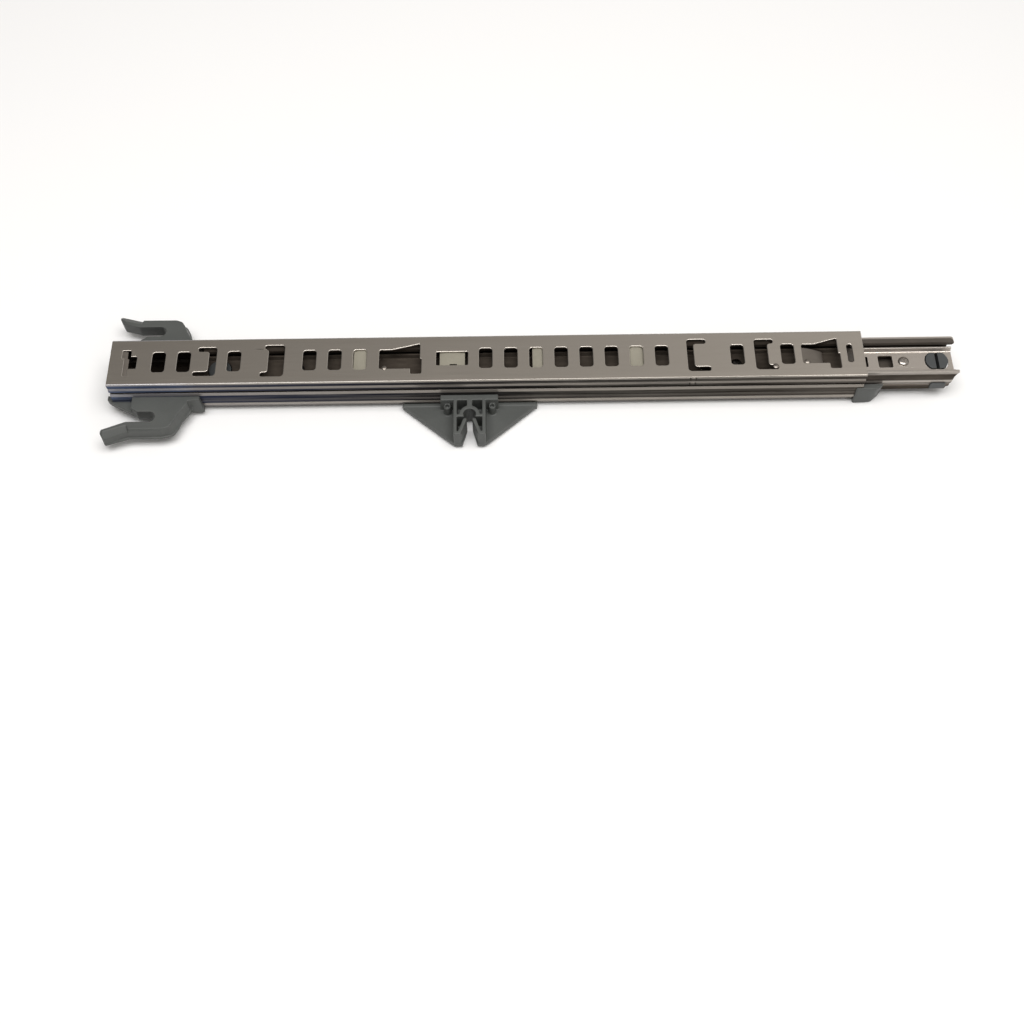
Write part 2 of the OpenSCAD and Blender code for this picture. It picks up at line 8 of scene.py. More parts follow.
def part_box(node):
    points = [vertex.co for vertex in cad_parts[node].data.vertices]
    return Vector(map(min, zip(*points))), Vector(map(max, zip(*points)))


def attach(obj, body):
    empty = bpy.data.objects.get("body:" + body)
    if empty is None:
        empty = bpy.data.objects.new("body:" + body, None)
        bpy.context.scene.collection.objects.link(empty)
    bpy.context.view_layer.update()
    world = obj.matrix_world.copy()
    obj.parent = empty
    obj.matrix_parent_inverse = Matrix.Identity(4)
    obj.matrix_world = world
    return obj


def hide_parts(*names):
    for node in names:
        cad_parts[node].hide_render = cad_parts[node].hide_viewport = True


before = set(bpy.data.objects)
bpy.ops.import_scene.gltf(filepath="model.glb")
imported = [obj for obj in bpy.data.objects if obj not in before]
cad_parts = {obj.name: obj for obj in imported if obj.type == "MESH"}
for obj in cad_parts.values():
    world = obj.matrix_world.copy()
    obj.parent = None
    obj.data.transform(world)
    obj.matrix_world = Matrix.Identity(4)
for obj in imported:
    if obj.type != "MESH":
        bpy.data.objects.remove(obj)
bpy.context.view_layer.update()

# An over-and-under ball-bearing drawer slide. Sizes are in millimetres and the meshes in metres.
# X runs along the rails towards the front, Y across them, Z up.
# Cross-section corners are [distance from the middle plane, depth below the drawer rail's top, radius].

MM = 0.001


def limits(node):
    """Lowest and highest corner of a CAD node, in millimetres."""
    low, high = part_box(node)
    return low / MM, high / MM


drawer_low, drawer_high = limits("drawer_rail")
middle_low, middle_high = limits("middle_rail_upper")
_, bracket_high = limits("rear_hook_bracket")
_, clip_high = limits("snap_clip")
cap_low, cap_high = limits("front_end_cap")

# Rails
REAR = drawer_low.x
FRONT = drawer_high.x
TOP = drawer_high.z
HALF_W = 16.5
OUTER_Y = 16.55
TRACK_Y = 15.35
MIDDLE_REAR = middle_low.x
NOSE = middle_high.x
MIDDLE_FRONT = NOSE - 1.5
SHEET = 1.2
FLOOR_DEPTH = 9.5
SEAM_DEPTH = 15.4
CABINET_FLOOR_DEPTH = 24.8
CRIMP_X = 122

# Ball rows and cages
BALL_PITCH = 14
BALLS = 12
UPPER_BALL_DEPTH = 5.6
LOWER_BALL_DEPTH = 19.6
UPPER_CAGE_X = 6.5
LOWER_CAGE_X = 23
CAGE_LEN = BALL_PITCH * (BALLS - 1) + 22
CAGE_REACH = 13.6
BRIDGES = [(-81.5, 9), (-27, 15), (24.6, 7.5), (82.5, 9)]

# What the middle rail carries, along X
FRONT_PLUG_X = MIDDLE_FRONT - 9.5
REAR_PLUG_X = MIDDLE_REAR + 9.5
SLIT_X = 228.5
SQUARE_HOLE_X = 239.8
JOINT_RIVETS = [-113, -34.5, 67, 150, 250.6]

# Mouldings on the cabinet rail
HOOK_TOP = bracket_high.z
CLIP_TOP = clip_high.z
CLIP_X = -10.5
CLIP_Y = 31.6
BRACKET_RIVETS = [-203, -181]
CLIP_RIVETS = [-32, 12]
RIVET_BORE_R = 2.2

# ---------------------------------------------------------------- outlines


def fillet(before, at, after, radius, steps=None):
    """Points of the arc that rounds the corner between two neighbours."""
    corner = Vector(at)
    u = (Vector(before) - corner).normalized()
    v = (Vector(after) - corner).normalized()
    half = u.angle(v) / 2
    centre = corner + (u + v).normalized() * radius / math.sin(half)
    start = corner + u * radius / math.tan(half) - centre
    turn = math.pi - 2 * half
    if u.x * v.y - u.y * v.x > 0:
        turn = -turn
    steps = steps or max(2, math.ceil(abs(turn) / math.radians(11)))
    return [centre + Matrix.Rotation(turn * i / steps, 2) @ start for i in range(steps + 1)]


def rounded(corners, closed=True, steps=None):
    """Outline of corners given as (u, v, radius)."""
    points = []
    for i, (u, v, radius) in enumerate(corners):
        inside = closed or 0 < i < len(corners) - 1
        if radius and inside:
            following = corners[(i + 1) % len(corners)]
            points += fillet(corners[i - 1][:2], (u, v), following[:2], radius, steps)
        else:
            points.append(Vector((u, v)))
    return points


def both_sides(half):
    """Whole cross-section from its half, which runs from the middle plane and back to it."""
    points = rounded(half, closed=False)
    return points + [Vector((-p.x, p.y)) for p in reversed(points[1:-1])]


def rectangle(u0, u1, v0, v1, radius=0.0):
    return [(u0, v0, radius), (u1, v0, radius), (u1, v1, radius), (u0, v1, radius)]


# ---------------------------------------------------------------- meshes


def new_object(name, bm):
    """Object of a bmesh in millimetres, with its faces turned outwards."""
    bmesh.ops.remove_doubles(bm, verts=bm.verts, dist=1e-4)
    bmesh.ops.recalc_face_normals(bm, faces=bm.faces)
    bmesh.ops.scale(bm, vec=(MM, MM, MM), verts=bm.verts)
    mesh = bpy.data.meshes.new(name)
    bm.to_mesh(mesh)
    bm.free()
    made = bpy.data.objects.new(name, mesh)
    bpy.context.scene.collection.objects.link(made)
    return made


def skin(bm, rings):
    """Quads between rings of the same length, with a face on each end."""
    made = [[bm.verts.new(p) for p in ring] for ring in rings]
    count = len(made[0])
    for a, b in zip(made, made[1:]):
        for i in range(count):
            j = (i + 1) % count
            bm.faces.new((a[i], a[j], b[j], b[i]))
    bm.faces.new(made[0])
    bm.faces.new(made[-1])


def along_x(outline, stations):
    """Solid of a cross-section run along the rail."""
    bm = bmesh.new()
    skin(bm, [[(x, p.x, TOP - p.y) for p in outline] for x in stations])
    return new_object("along_x", bm)


def upright(corners, low_z, high_z):
    """Prism of a plan between two heights."""
    outline = rounded(corners)
    bm = bmesh.new()
    skin(bm, [[(p.x, p.y, z) for p in outline] for z in (low_z, high_z)])
    return new_object("upright", bm)


def drafted(corners, flares, low_z, high_z):
    """Prism whose foot stands out from its top by a flare (x, y) at each corner."""
    foot = [(u + du, v + dv, radius) for (u, v, radius), (du, dv) in zip(corners, flares)]
    bm = bmesh.new()
    skin(bm, [
        [(p.x, p.y, low_z) for p in rounded(foot, steps=8)],
        [(p.x, p.y, high_z) for p in rounded(corners, steps=8)],
    ])
    return new_object("drafted", bm)


def across_y(corners, low_y, high_y):
    """Prism of a side view, given as (x, depth, radius), between two distances across the rail."""
    outline = rounded(corners)
    bm = bmesh.new()
    skin(bm, [[(p.x, y, TOP - p.y) for p in outline] for y in (low_y, high_y)])
    return new_object("across_y", bm)


def turned(profile, centre, axis="Z", segments=40):
    """Solid of revolution: profile points are (radius, height), from the axis and back to it."""
    bm = bmesh.new()
    turn = {"Z": Matrix.Identity(3), "Y": Matrix.Rotation(math.radians(90), 3, "X")}[axis]
    rings = []
    for radius, height in profile:
        if radius == 0:
            rings.append([bm.verts.new(turn @ Vector((0, 0, height)) + Vector(centre))])
            continue
        rings.append([
            bm.verts.new(turn @ Vector((
                radius * math.cos(math.tau * i / segments),
                radius * math.sin(math.tau * i / segments),
                height,
            )) + Vector(centre))
            for i in range(segments)
        ])
    for a, b in zip(rings, rings[1:]):
        for i in range(segments):
            j = (i + 1) % segments
            corners = [a[i % len(a)], a[j % len(a)], b[j % len(b)], b[i % len(b)]]
            bm.faces.new(dict.fromkeys(corners))
    return new_object("turned", bm)


def bent_strip(stations, width_range, thickness=SHEET):
    """Bent tongue of sheet metal; stations are (x, depth of its upper face)."""
    upper = [Vector((x, d)) for x, d in stations]
    lower = []
    for i, p in enumerate(upper):
        ahead = upper[min(i + 1, len(upper) - 1)]
        behind = upper[max(i - 1, 0)]
        along = (ahead - behind).normalized()
        lower.append(p + Vector((-along.y, along.x)) * thickness)
    outline = upper + lower[::-1]
    bm = bmesh.new()
    skin(bm, [[(p.x, y, TOP - p.y) for p in outline] for y in width_range])
    return new_object("bent_strip", bm)


def joined(objects):
    """One object of several; they stay separate shells."""
    bm = bmesh.new()
    for piece in objects:
        bm.from_mesh(piece.data)
    bmesh.ops.scale(bm, vec=(1 / MM,) * 3, verts=bm.verts)
    for piece in objects:
        bpy.data.objects.remove(piece)
    return new_object("joined", bm)


def baked(piece):
    """The piece with its modifiers applied."""
    depsgraph = bpy.context.evaluated_depsgraph_get()
    mesh = bpy.data.meshes.new_from_object(piece.evaluated_get(depsgraph))
    piece.modifiers.clear()
    piece.data = mesh
    return piece


def combined(piece, tools, operation):
    """The piece with the tools joined on or cut out; the tools are used up."""
    for tool in tools:
        modifier = piece.modifiers.new("combine", "BOOLEAN")
        modifier.operation = operation
        modifier.object = tool
        modifier.solver = "EXACT"
    baked(piece)
    for tool in tools:
        bpy.data.objects.remove(tool)
    return piece


def cut(piece, *tools):
    """The piece with the tools cut out."""
    return combined(piece, tools, "DIFFERENCE")


def weld(piece, *tools):
    """The piece and the tools as one solid."""
    return combined(piece, tools, "UNION")


def mirrored(piece):
    """The piece moved to the other side of the middle plane."""
    bm = bmesh.new()
    bm.from_mesh(piece.data)
    bpy.data.objects.remove(piece)
    bmesh.ops.scale(bm, vec=(1 / MM, -1 / MM, 1 / MM), verts=bm.verts)
    return new_object("mirrored", bm)


def moulded(piece, voxel=0.3, rounds=6):
    """Overlapping solids run into one moulding with soft edges."""
    remesh = piece.modifiers.new("remesh", "REMESH")
    remesh.mode = "VOXEL"
    remesh.voxel_size = voxel * MM
    remesh.use_smooth_shade = True
    soften = piece.modifiers.new("soften", "SMOOTH")
    soften.factor = 0.5
    soften.iterations = rounds
    return baked(piece)


def softened(piece, width, segments=2, angle=32, clamp=True):
    """Pressed and sheared edges with a small radius, and flat faces that stay flat in the light."""
    bevel = piece.modifiers.new("edges", "BEVEL")
    bevel.width = width * MM
    bevel.segments = segments
    bevel.limit_method = "ANGLE"
    bevel.use_clamp_overlap = clamp
    bevel.angle_limit = math.radians(angle)
    bevel.miter_outer = "MITER_ARC"
    bevel.harden_normals = True
    for polygon in piece.data.polygons:
        polygon.use_smooth = True
    return piece


def finished(piece, name, body, slot, material, *nodes):
    """Names a piece, gives it its material and fixes it to its body."""
    piece.name = name
    piece.data.name = name
    piece.data.materials.clear()
    piece.data.materials.append(material)
    for polygon in piece.data.polygons:
        polygon.use_smooth = True
    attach(piece, body)
    if nodes:
        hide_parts(*nodes)
    return piece


# ---------------------------------------------------------------- materials


LOWEST_BAND = 27


class Nodes:
    """Short forms for the nodes that the materials share."""

    def __init__(self, name):
        self.material = bpy.data.materials.new(name)
        self.material.use_nodes = True
        self.tree = self.material.node_tree
        self.shader = self.tree.nodes["Principled BSDF"]
        self.place = self.tree.nodes.new("ShaderNodeTexCoord").outputs["Object"]
        split = self.add("ShaderNodeSeparateXYZ", Vector=self.place)
        self.along = split.outputs["X"]
        self.across = self.math("ABSOLUTE", split.outputs["Y"], 0.0)
        self.depth = self.math("SUBTRACT", TOP * MM, split.outputs["Z"])
        self.side = split.outputs["Y"]

    def add(self, kind, **inputs):
        node = self.tree.nodes.new(kind)
        for key, value in inputs.items():
            socket = node.inputs[key.replace("_", " ")]
            if isinstance(value, bpy.types.NodeSocket):
                self.tree.links.new(value, socket)
            else:
                socket.default_value = value
        return node

    def noise(self, stretch, detail=3.0, roughness=0.55):
        """Noise with a number of cells per metre along each axis."""
        scaled = self.add("ShaderNodeMapping", Vector=self.place, Scale=stretch)
        node = self.add(
            "ShaderNodeTexNoise", Vector=scaled.outputs[0], Scale=1.0, Detail=detail, Roughness=roughness,
        )
        return node.outputs["Fac"]

    def ranged(self, value, low, high, to_low, to_high):
        node = self.add("ShaderNodeMapRange", Value=value)
        for index, number in zip((1, 2, 3, 4), (low, high, to_low, to_high)):
            node.inputs[index].default_value = number
        return node.outputs[0]

    def mixed(self, factor, first, second):
        node = self.tree.nodes.new("ShaderNodeMix")
        node.data_type = "RGBA"
        for index, value in ((0, factor), (6, first), (7, second)):
            if isinstance(value, bpy.types.NodeSocket):
                self.tree.links.new(value, node.inputs[index])
            else:
                node.inputs[index].default_value = value
        return node.outputs[2]

    def math(self, operation, first, second):
        node = self.tree.nodes.new("ShaderNodeMath")
        node.operation = operation
        for index, value in enumerate((first, second)):
            if isinstance(value, bpy.types.NodeSocket):
                self.tree.links.new(value, node.inputs[index])
            else:
                node.inputs[index].default_value = value
        return node.outputs[0]

    def ramp(self, value, low, high, stops):
        """Colours that change with a value between two limits, both in millimetres."""
        node = self.tree.nodes.new("ShaderNodeValToRGB")
        elements = node.color_ramp.elements
        while len(elements) < len(stops):
            elements.new(0.5)
        for element, (at, colour) in zip(elements, stops):
            element.position = (at - low) / (high - low)
            element.color = (*colour, 1)
        self.tree.links.new(self.ranged(value, low * MM, high * MM, 0.0, 1.0), node.inputs[0])
        return node.outputs[0]

    def shares(self, bands):
        """How much of the surface is covered, from (depth, share) pairs."""
        return self.ramp(self.depth, 0, LOWEST_BAND, [(at, (share,) * 3) for at, share in bands])

    def edges(self, radius, low, high):
        """Mask that is 1 on edges rounder than the flats beside them."""
        bevel = self.add("ShaderNodeBevel", Radius=radius * MM)
        bevel.samples = 4
        geometry = self.tree.nodes.new("ShaderNodeNewGeometry")
        dot = self.tree.nodes.new("ShaderNodeVectorMath")
        dot.operation = "DOT_PRODUCT"
        self.tree.links.new(bevel.outputs[0], dot.inputs[0])
        self.tree.links.new(geometry.outputs["Normal"], dot.inputs[1])
        return self.ranged(self.math("SUBTRACT", 1.0, dot.outputs["Value"]), low, high, 0.0, 1.0)

    def rims(self):
        """Mask of the rolled-over edges round the web's holes."""
        normal = self.tree.nodes.new("ShaderNodeNewGeometry").outputs["Normal"]
        level = self.add("ShaderNodeSeparateXYZ", Vector=normal).outputs["Z"]
        sloping = self.ranged(level, 0.97, 0.75, 0.0, 1.0)
        near_top = self.ranged(self.depth, 0.5 * MM, 0.75 * MM, 1.0, 0.0)
        return self.math("MULTIPLY", sloping, near_top)

    def bump(self, height, strength, distance, normal=None):
        node = self.add("ShaderNodeBump", Height=height, Strength=strength, Distance=distance * MM)
        if normal is not None:
            self.tree.links.new(normal, node.inputs["Normal"])
        return node.outputs[0]

    def link(self, socket, name):
        self.tree.links.new(socket, self.shader.inputs[name])

    def set(self, name, value):
        self.shader.inputs[name].default_value = value


def steel_finish(n, light, dark, roughness):
    """Plated strip with fine rolling lines along the rail, faint stains and brighter worn edges."""
    lines = n.noise((30, 3200, 3200), detail=3)
    broad_lines = n.noise((5, 300, 300), detail=2)
    stains = n.noise((26, 70, 70), detail=5, roughness=0.6)
    worn = n.edges(0.5, 0.03, 0.3)
    colour = n.mixed(n.ranged(stains, 0.35, 0.68, 0.0, 0.7), light, dark)
    colour = n.mixed(n.ranged(broad_lines, 0.35, 0.7, 0.0, 0.25), colour, dark)
    colour = n.mixed(n.ranged(lines, 0.4, 0.75, 0.0, 0.22), colour, [c * 1.12 for c in light[:3]] + [1])
    colour = n.mixed(worn, colour, [min(1, c * 1.35) for c in light[:3]] + [1])
    rough = n.math("ADD", n.ranged(lines, 0.3, 0.7, roughness - 0.03, roughness + 0.03),
                   n.ranged(stains, 0.4, 0.7, -0.015, 0.04))
    waves = n.bump(broad_lines, 0.3, 0.015)
    n.link(n.bump(lines, 0.2, 0.003, waves), "Normal")
    return colour, n.math("MAXIMUM", rough, n.ranged(worn, 0.0, 1.0, 0.0, 0.5))


def rail_steel(name, light, dark, bands, roughness=0.2):
    """Outer rail: painted reflection of dark, bluish or brownish surroundings in bands down its outer
    flanges, lighter on its ridges, and painted shade inside below the web.
    """
    n = Nodes(name)
    colour, rough = steel_finish(n, light, dark, roughness)
    # Painted reflection: a dark colour, bluish at the rear end and brownish at the front, laid in depth bands
    # on the outer flanges in place of reflected surroundings.
    reflection_colour = n.ramp(n.along, REAR, FRONT, [
        (REAR, (0.055, 0.080, 0.150)), (-184, (0.048, 0.070, 0.130)), (-172, (0.014, 0.020, 0.044)),
        (-60, (0.008, 0.009, 0.015)), (40, (0.007, 0.006, 0.005)), (150, (0.018, 0.015, 0.012)),
        (FRONT, (0.034, 0.028, 0.023)),
    ])
    outside = n.ranged(n.across, 15.3 * MM, 15.6 * MM, 0.0, 1.0)
    patchy = n.ranged(n.noise((18, 500, 500), detail=3), 0.3, 0.7, 0.9, 1.0)
    band_share = n.math("MULTIPLY", n.shares(bands), patchy)
    reflection_share = n.math("MULTIPLY", band_share, outside)
    rims = n.math("MULTIPLY", n.rims(), n.math("SUBTRACT", 1.0, outside))
    # Painted shade: the surfaces inside the rail below the web are made dark, duller and less metallic.
    below_web = n.ranged(n.depth, 0.8 * MM, 1.3 * MM, 0.0, 1.0)
    inside = n.math("MULTIPLY", below_web, n.math("SUBTRACT", 1.0, outside))
    colour = n.mixed(reflection_share, colour, reflection_colour)
    colour = n.mixed(rims, colour, (0.62, 0.58, 0.54, 1))
    colour = n.mixed(inside, colour, (0.030, 0.024, 0.019, 1))
    n.link(colour, "Base Color")
    rough = n.math("ADD", rough, n.ranged(inside, 0, 1, 0.0, 0.25))
    n.link(n.math("MAXIMUM", rough, n.ranged(rims, 0, 1, 0.0, 0.48)), "Roughness")
    n.link(n.ranged(n.math("MAXIMUM", reflection_share, inside), 0, 1, 1.0, 0.15), "Metallic")
    n.set("Specular IOR Level", 0.0)
    return n.material


def middle_steel(name, light, dark, bands, shade_web=False, roughness=0.22):
    """Middle rail: clean steel where it stands out in front, painted shade behind that, in its fold, in bands
    on its tracks and on its channel's inner walls, and, if asked, on the web too.
    """
    n = Nodes(name)
    colour, rough = steel_finish(n, light, dark, roughness)
    # Painted shade: where the drawer rail covers this rail, in the fold, in bands on the tracks and on the
    # channel's inner walls.
    covered = n.ranged(n.along, (FRONT - 9) * MM, (FRONT - 1) * MM, 1.0, 0.0)
    flange = n.ranged(n.across, 9.0 * MM, 9.7 * MM, 0.0, 1.0)
    on_track = n.math("MULTIPLY", flange, n.shares(bands))
    normal = n.tree.nodes.new("ShaderNodeNewGeometry").outputs["Normal"]
    facing = n.add("ShaderNodeSeparateXYZ", Vector=normal)
    outwards = n.math("MULTIPLY", facing.outputs["Y"], n.side)
    in_channel = n.math("MULTIPLY", flange, n.ranged(outwards, -0.001, -0.004, 0.0, 0.9))
    in_fold = n.ranged(n.across, 6.5 * MM, 7.2 * MM, 0.0, 0.4)
    shade_share = covered
    for part in (in_fold, on_track, in_channel):
        shade_share = n.math("MAXIMUM", shade_share, part)
    if shade_web:
        shade_share = n.math("MAXIMUM", shade_share, n.ranged(n.across, 8.5 * MM, 9.5 * MM, 0.85, 0.0))
    # Blotchy dark colour of the painted shade.
    shade_blotches = n.ranged(n.noise((60, 200, 200), detail=4), 0.3, 0.7, 0.0, 1.0)
    shade_colour = n.mixed(shade_blotches, (0.032, 0.026, 0.021, 1), (0.070, 0.058, 0.047, 1))
    n.link(n.mixed(shade_share, colour, shade_colour), "Base Color")
    n.link(n.math("ADD", rough, n.ranged(shade_share, 0, 1, 0.0, 0.2)), "Roughness")
    n.link(n.ranged(shade_share, 0, 1, 1.0, 0.2), "Metallic")
    n.set("Specular IOR Level", 0.0)
    return n.material


def clean_steel(name, light, dark, roughness=0.24):
    """Bare pressed steel."""
    n = Nodes(name)
    colour, rough = steel_finish(n, light, dark, roughness)
    n.link(colour, "Base Color")
    n.link(rough, "Roughness")
    n.set("Metallic", 1.0)
    return n.material


def zinc_plate(name, colour):
    """Bright zinc on small turned parts, with dull patches, and painted shade on the parts behind the drawer
    rail's front end.
    """
    n = Nodes(name)
    patches = n.noise((260, 260, 260), detail=4)
    fine = n.noise((2400, 2400, 2400), detail=3)
    worn = n.edges(0.35, 0.03, 0.3)
    base = n.mixed(n.ranged(patches, 0.35, 0.7, 0.0, 1.0), colour, [c * 0.72 for c in colour[:3]] + [1])
    base = n.mixed(worn, base, [min(1, c * 1.3) for c in colour[:3]] + [1])
    # Painted shade: turned parts behind the drawer rail's front end are darkened to about an eighth of their
    # colour.
    covered = n.ranged(n.along, (FRONT - 9) * MM, (FRONT - 1) * MM, 1.0, 0.0)
    n.link(n.mixed(covered, base, [c * 0.12 for c in colour[:3]] + [1]), "Base Color")
    n.set("Metallic", 1.0)
    n.link(n.ranged(patches, 0.3, 0.7, 0.2, 0.38), "Roughness")
    n.link(n.bump(fine, 0.3, 0.006), "Normal")
    return n.material


def polished_steel(name):
    """Hardened balls: nearly a mirror, with fine haze."""
    n = Nodes(name)
    haze = n.noise((700, 700, 700), detail=4)
    n.link(n.mixed(haze, (0.62, 0.62, 0.64, 1), (0.78, 0.78, 0.79, 1)), "Base Color")
    n.set("Metallic", 1.0)
    n.link(n.ranged(haze, 0.3, 0.7, 0.06, 0.16), "Roughness")
    n.link(n.bump(haze, 0.1, 0.003), "Normal")
    return n.material


def moulded_plastic(name, colour, lighter, roughness, grain=0.35):
    """Filled plastic with a fine mould texture, flow marks and edges rubbed lighter."""
    n = Nodes(name)
    texture = n.noise((2100, 2100, 2100), detail=3)
    flow = n.noise((42, 60, 42), detail=5, roughness=0.65)
    worn = n.edges(0.6, 0.04, 0.4)
    rubbed = n.math("MULTIPLY", worn, n.ranged(flow, 0.3, 0.6, 0.35, 1.0))
    darker = [c * 0.84 for c in colour[:3]] + [1]
    base = n.mixed(n.ranged(flow, 0.3, 0.7, 0.0, 1.0), darker, colour)
    base = n.mixed(n.ranged(texture, 0.35, 0.75, 0.0, 0.3), base, lighter)
    n.link(n.mixed(rubbed, base, lighter), "Base Color")
    rough = n.math("ADD", n.ranged(texture, 0.3, 0.7, roughness - 0.06, roughness + 0.06),
                   n.ranged(flow, 0.35, 0.7, -0.04, 0.06))
    n.link(rough, "Roughness")
    n.set("Specular IOR Level", 0.4)
    n.link(n.bump(texture, grain, 0.02), "Normal")
    return n.material


# Depth below the web's top, and how much of the surface there is covered by painted reflection or painted
# shade
DRAWER_BANDS = [
    (0, 0.5), (0.6, 0.55), (1.0, 1), (3.9, 1), (4.5, 0.62), (5.5, 0.68), (6.0, 1), (9.2, 1),
]
CABINET_BANDS = [
    (9.9, 0.62), (11.6, 0.6), (12.2, 1), (16.4, 1), (16.9, 0.9), (17.6, 0.9), (18.2, 1), (20.0, 1),
    (20.3, 0.55), (21.4, 0.5), (22.0, 0.7), (24.5, 0.68), (26, 0.85),
]
UPPER_BANDS = [
    (2.2, 0.3), (6.6, 0.35), (7.2, 0.97), (10.6, 0.97), (11.3, 0.4), (12.8, 0.4), (13.3, 0.85),
    (14.2, 0.8), (14.6, 0.4), (15.4, 0.4),
]
LOWER_BANDS = [(15.4, 0.3), (16.0, 0.3), (16.6, 0.95), (22, 0.95)]
STEEL_LIGHT = (0.60, 0.555, 0.50, 1)
STEEL_DARK = (0.53, 0.485, 0.43, 1)

web_steel = rail_steel("web_steel", STEEL_LIGHT, STEEL_DARK, DRAWER_BANDS)
channel_steel = rail_steel("channel_steel", STEEL_LIGHT, STEEL_DARK, CABINET_BANDS)
# Darker copy of the rail steel for the tongues and ears down in the windows: painted shade.
flap_steel = clean_steel("flap_steel", (0.25, 0.225, 0.20, 1), (0.19, 0.17, 0.15, 1), 0.34)
upper_steel = middle_steel("upper_steel", (0.66, 0.61, 0.56, 1), (0.58, 0.53, 0.48, 1), UPPER_BANDS)
# Darker copy of the middle rail's steel for its lower half, painted shade under the upper half, with painted
# shade on its web as well.
lower_steel = middle_steel(
    "lower_steel", (0.30, 0.265, 0.235, 1), (0.22, 0.19, 0.165, 1), LOWER_BANDS, shade_web=True,
)
zinc = zinc_plate("zinc", (0.42, 0.39, 0.36, 1))
ball_steel = polished_steel("ball_steel")
grey_plastic = moulded_plastic("grey_plastic", (0.070, 0.074, 0.070, 1), (0.108, 0.114, 0.108, 1), 0.5)
stop_plastic = moulded_plastic("stop_plastic", (0.050, 0.054, 0.055, 1), (0.10, 0.107, 0.11, 1), 0.42)
cream_plastic = moulded_plastic("cream_plastic", (0.25, 0.232, 0.185, 1), (0.36, 0.345, 0.285, 1), 0.42, 0.2)

# ---------------------------------------------------------------- drawer rail

drawer_half = [
    (0, 0, 0), (HALF_W, 0, 1.1), (HALF_W, 2.8, 0.6), (15.85, 4.2, 0.5), (OUTER_Y, 5.9, 0.7),
    (OUTER_Y, 7.4, 1.0), (15.3, 9.2, 0), (14.35, 8.5, 0), (TRACK_Y, 7.0, 0.8), (TRACK_Y, 5.2, 0.8),
    (14.65, 3.9, 0.5),
    (HALF_W - SHEET, 2.6, 0.4), (HALF_W - SHEET, SHEET, 0.4), (0, SHEET, 0),
]

HOLE_PITCH = 15
HOLE_START = 29.4
HOLES = [0, 1, 3, 6, 7, 8, 13, 14, 15, 16, 17, 18, 19, 20, 23, 25]

keyed_slot = [
    (-217.7, 8.7, 0.4), (-212.4, 8.7, 0.8), (-212.4, 4.3, 0.4), (-208.6, 4.3, 0.8), (-208.6, -4.4, 0.8),
    (-213.6, -4.4, 0.4), (-213.6, -9.5, 0.4), (-216.1, -9.5, 0.4), (-216.1, 2.9, 0.4), (-217.7, 2.9, 0.4),
]


def tab_slot(x, side, w, arm, y, arm_w):
    """Slot on three sides of a tab; side is 1 with the arms towards the front."""
    back = x + side * w
    far_end = x + side * arm
    near_end = x + side * (arm + 2)
    return [
        (x, y, 1.8), (far_end, y, 1.3), (far_end, y - arm_w, 1.3), (back, y - arm_w, 1.8),
        (back, -y + arm_w, 1.8), (near_end, -y + arm_w, 1.3), (near_end, -y, 1.3), (x, -y, 2.2),
    ]


def funnel_window(x, length):
    """Window that widens to the front for a hook of the drawer."""
    front = x + length
    return [
        (x, 6.8, 1.2), (x + 7.5, 6.8, 1.0), (front - 1, 10.9, 0.6), (front - 1, 0.4, 0.5), (front, 0.2, 0.5),
        (front, -10.6, 1.0), (front - 6.6, -10.6, 1.0), (front - 6.6, -6.8, 0.6), (x, -6.8, 1.2),
    ]


REAR_FUNNEL_X = -64.1
FRONT_FUNNEL_X = 187.9


def web_cut(corners):
    """Cutter for one window."""
    return upright(corners, TOP - SHEET - 0.4, TOP + 0.5)


def web_windows():
    """Everything that is pierced through the web."""
    windows = []
    for i in HOLES:
        x = REAR + HOLE_START + HOLE_PITCH * i
        windows.append(rectangle(x - 4, x + 4, -7.15, 7.15, 1.9))
    windows += [
        keyed_slot,
        tab_slot(-161.2, -1, 4.4, 11.3, 10.2, 2.9),
        tab_slot(-120.7, -1, 9.5, 11.9, 11.2, 2.9),
        funnel_window(REAR_FUNNEL_X, 25.3),
        rectangle(-30.1, -11.1, -4.85, 4.85, 0.8),
        tab_slot(119.6, 1, 3.9, 11.4, 11.4, 3.1),
        tab_slot(159.9, 1, 7.7, 11.3, 10.8, 3.0),
        funnel_window(FRONT_FUNNEL_X, 22.6),
        rectangle(214.8, 218.2, -6.6, 6.6, 1.65),
    ]
    return windows


def swept_flap(x, length, near_y, far_y, drop):
    """Tongue of the web that curves down into a window from the window's rear edge."""
    steps = 10
    stations = []
    for i in range(steps + 1):
        t = i / steps
        stations.append((x - 1.5 + (length + 1.5) * t, drop * (1 - math.cos(t * math.pi / 2)) + 0.02))
    return bent_strip(stations, (near_y, far_y), 0.9)


def curl(x, y, radius):
    """Small rolled ear left by the press beside a flap."""
    profile = [
        (0, 0.5), (radius * 0.6, 0.45), (radius * 0.92, 0.1), (radius, -0.5), (radius * 0.8, -1.1),
        (0, -1.15),
    ]
    return turned(profile, (x, y, TOP), segments=24)


def crimp(x):
    """Nick across the bend and down the near side."""
    nick = [(x - 0.5, -0.4, 0), (x + 0.5, -0.4, 0), (x + 0.4, 9.5, 0), (x - 0.4, 9.5, 0)]
    return across_y(nick, -HALF_W - 0.4, -HALF_W + 0.6)


def drawer_rail():
    """Perforated rail; its crimps are cut last, so that the edges stay crisp."""
    rail = along_x(both_sides(drawer_half), (REAR, FRONT))
    cut(rail, joined([web_cut(corners) for corners in web_windows()]))
    baked(softened(rail, 0.34, clamp=False))
    cut(rail, crimp(CRIMP_X - 1.6), crimp(CRIMP_X + 1.8))
    return finished(rail, "drawer_rail_steel", "drawer_member", "rail_steel", web_steel, "drawer_rail")


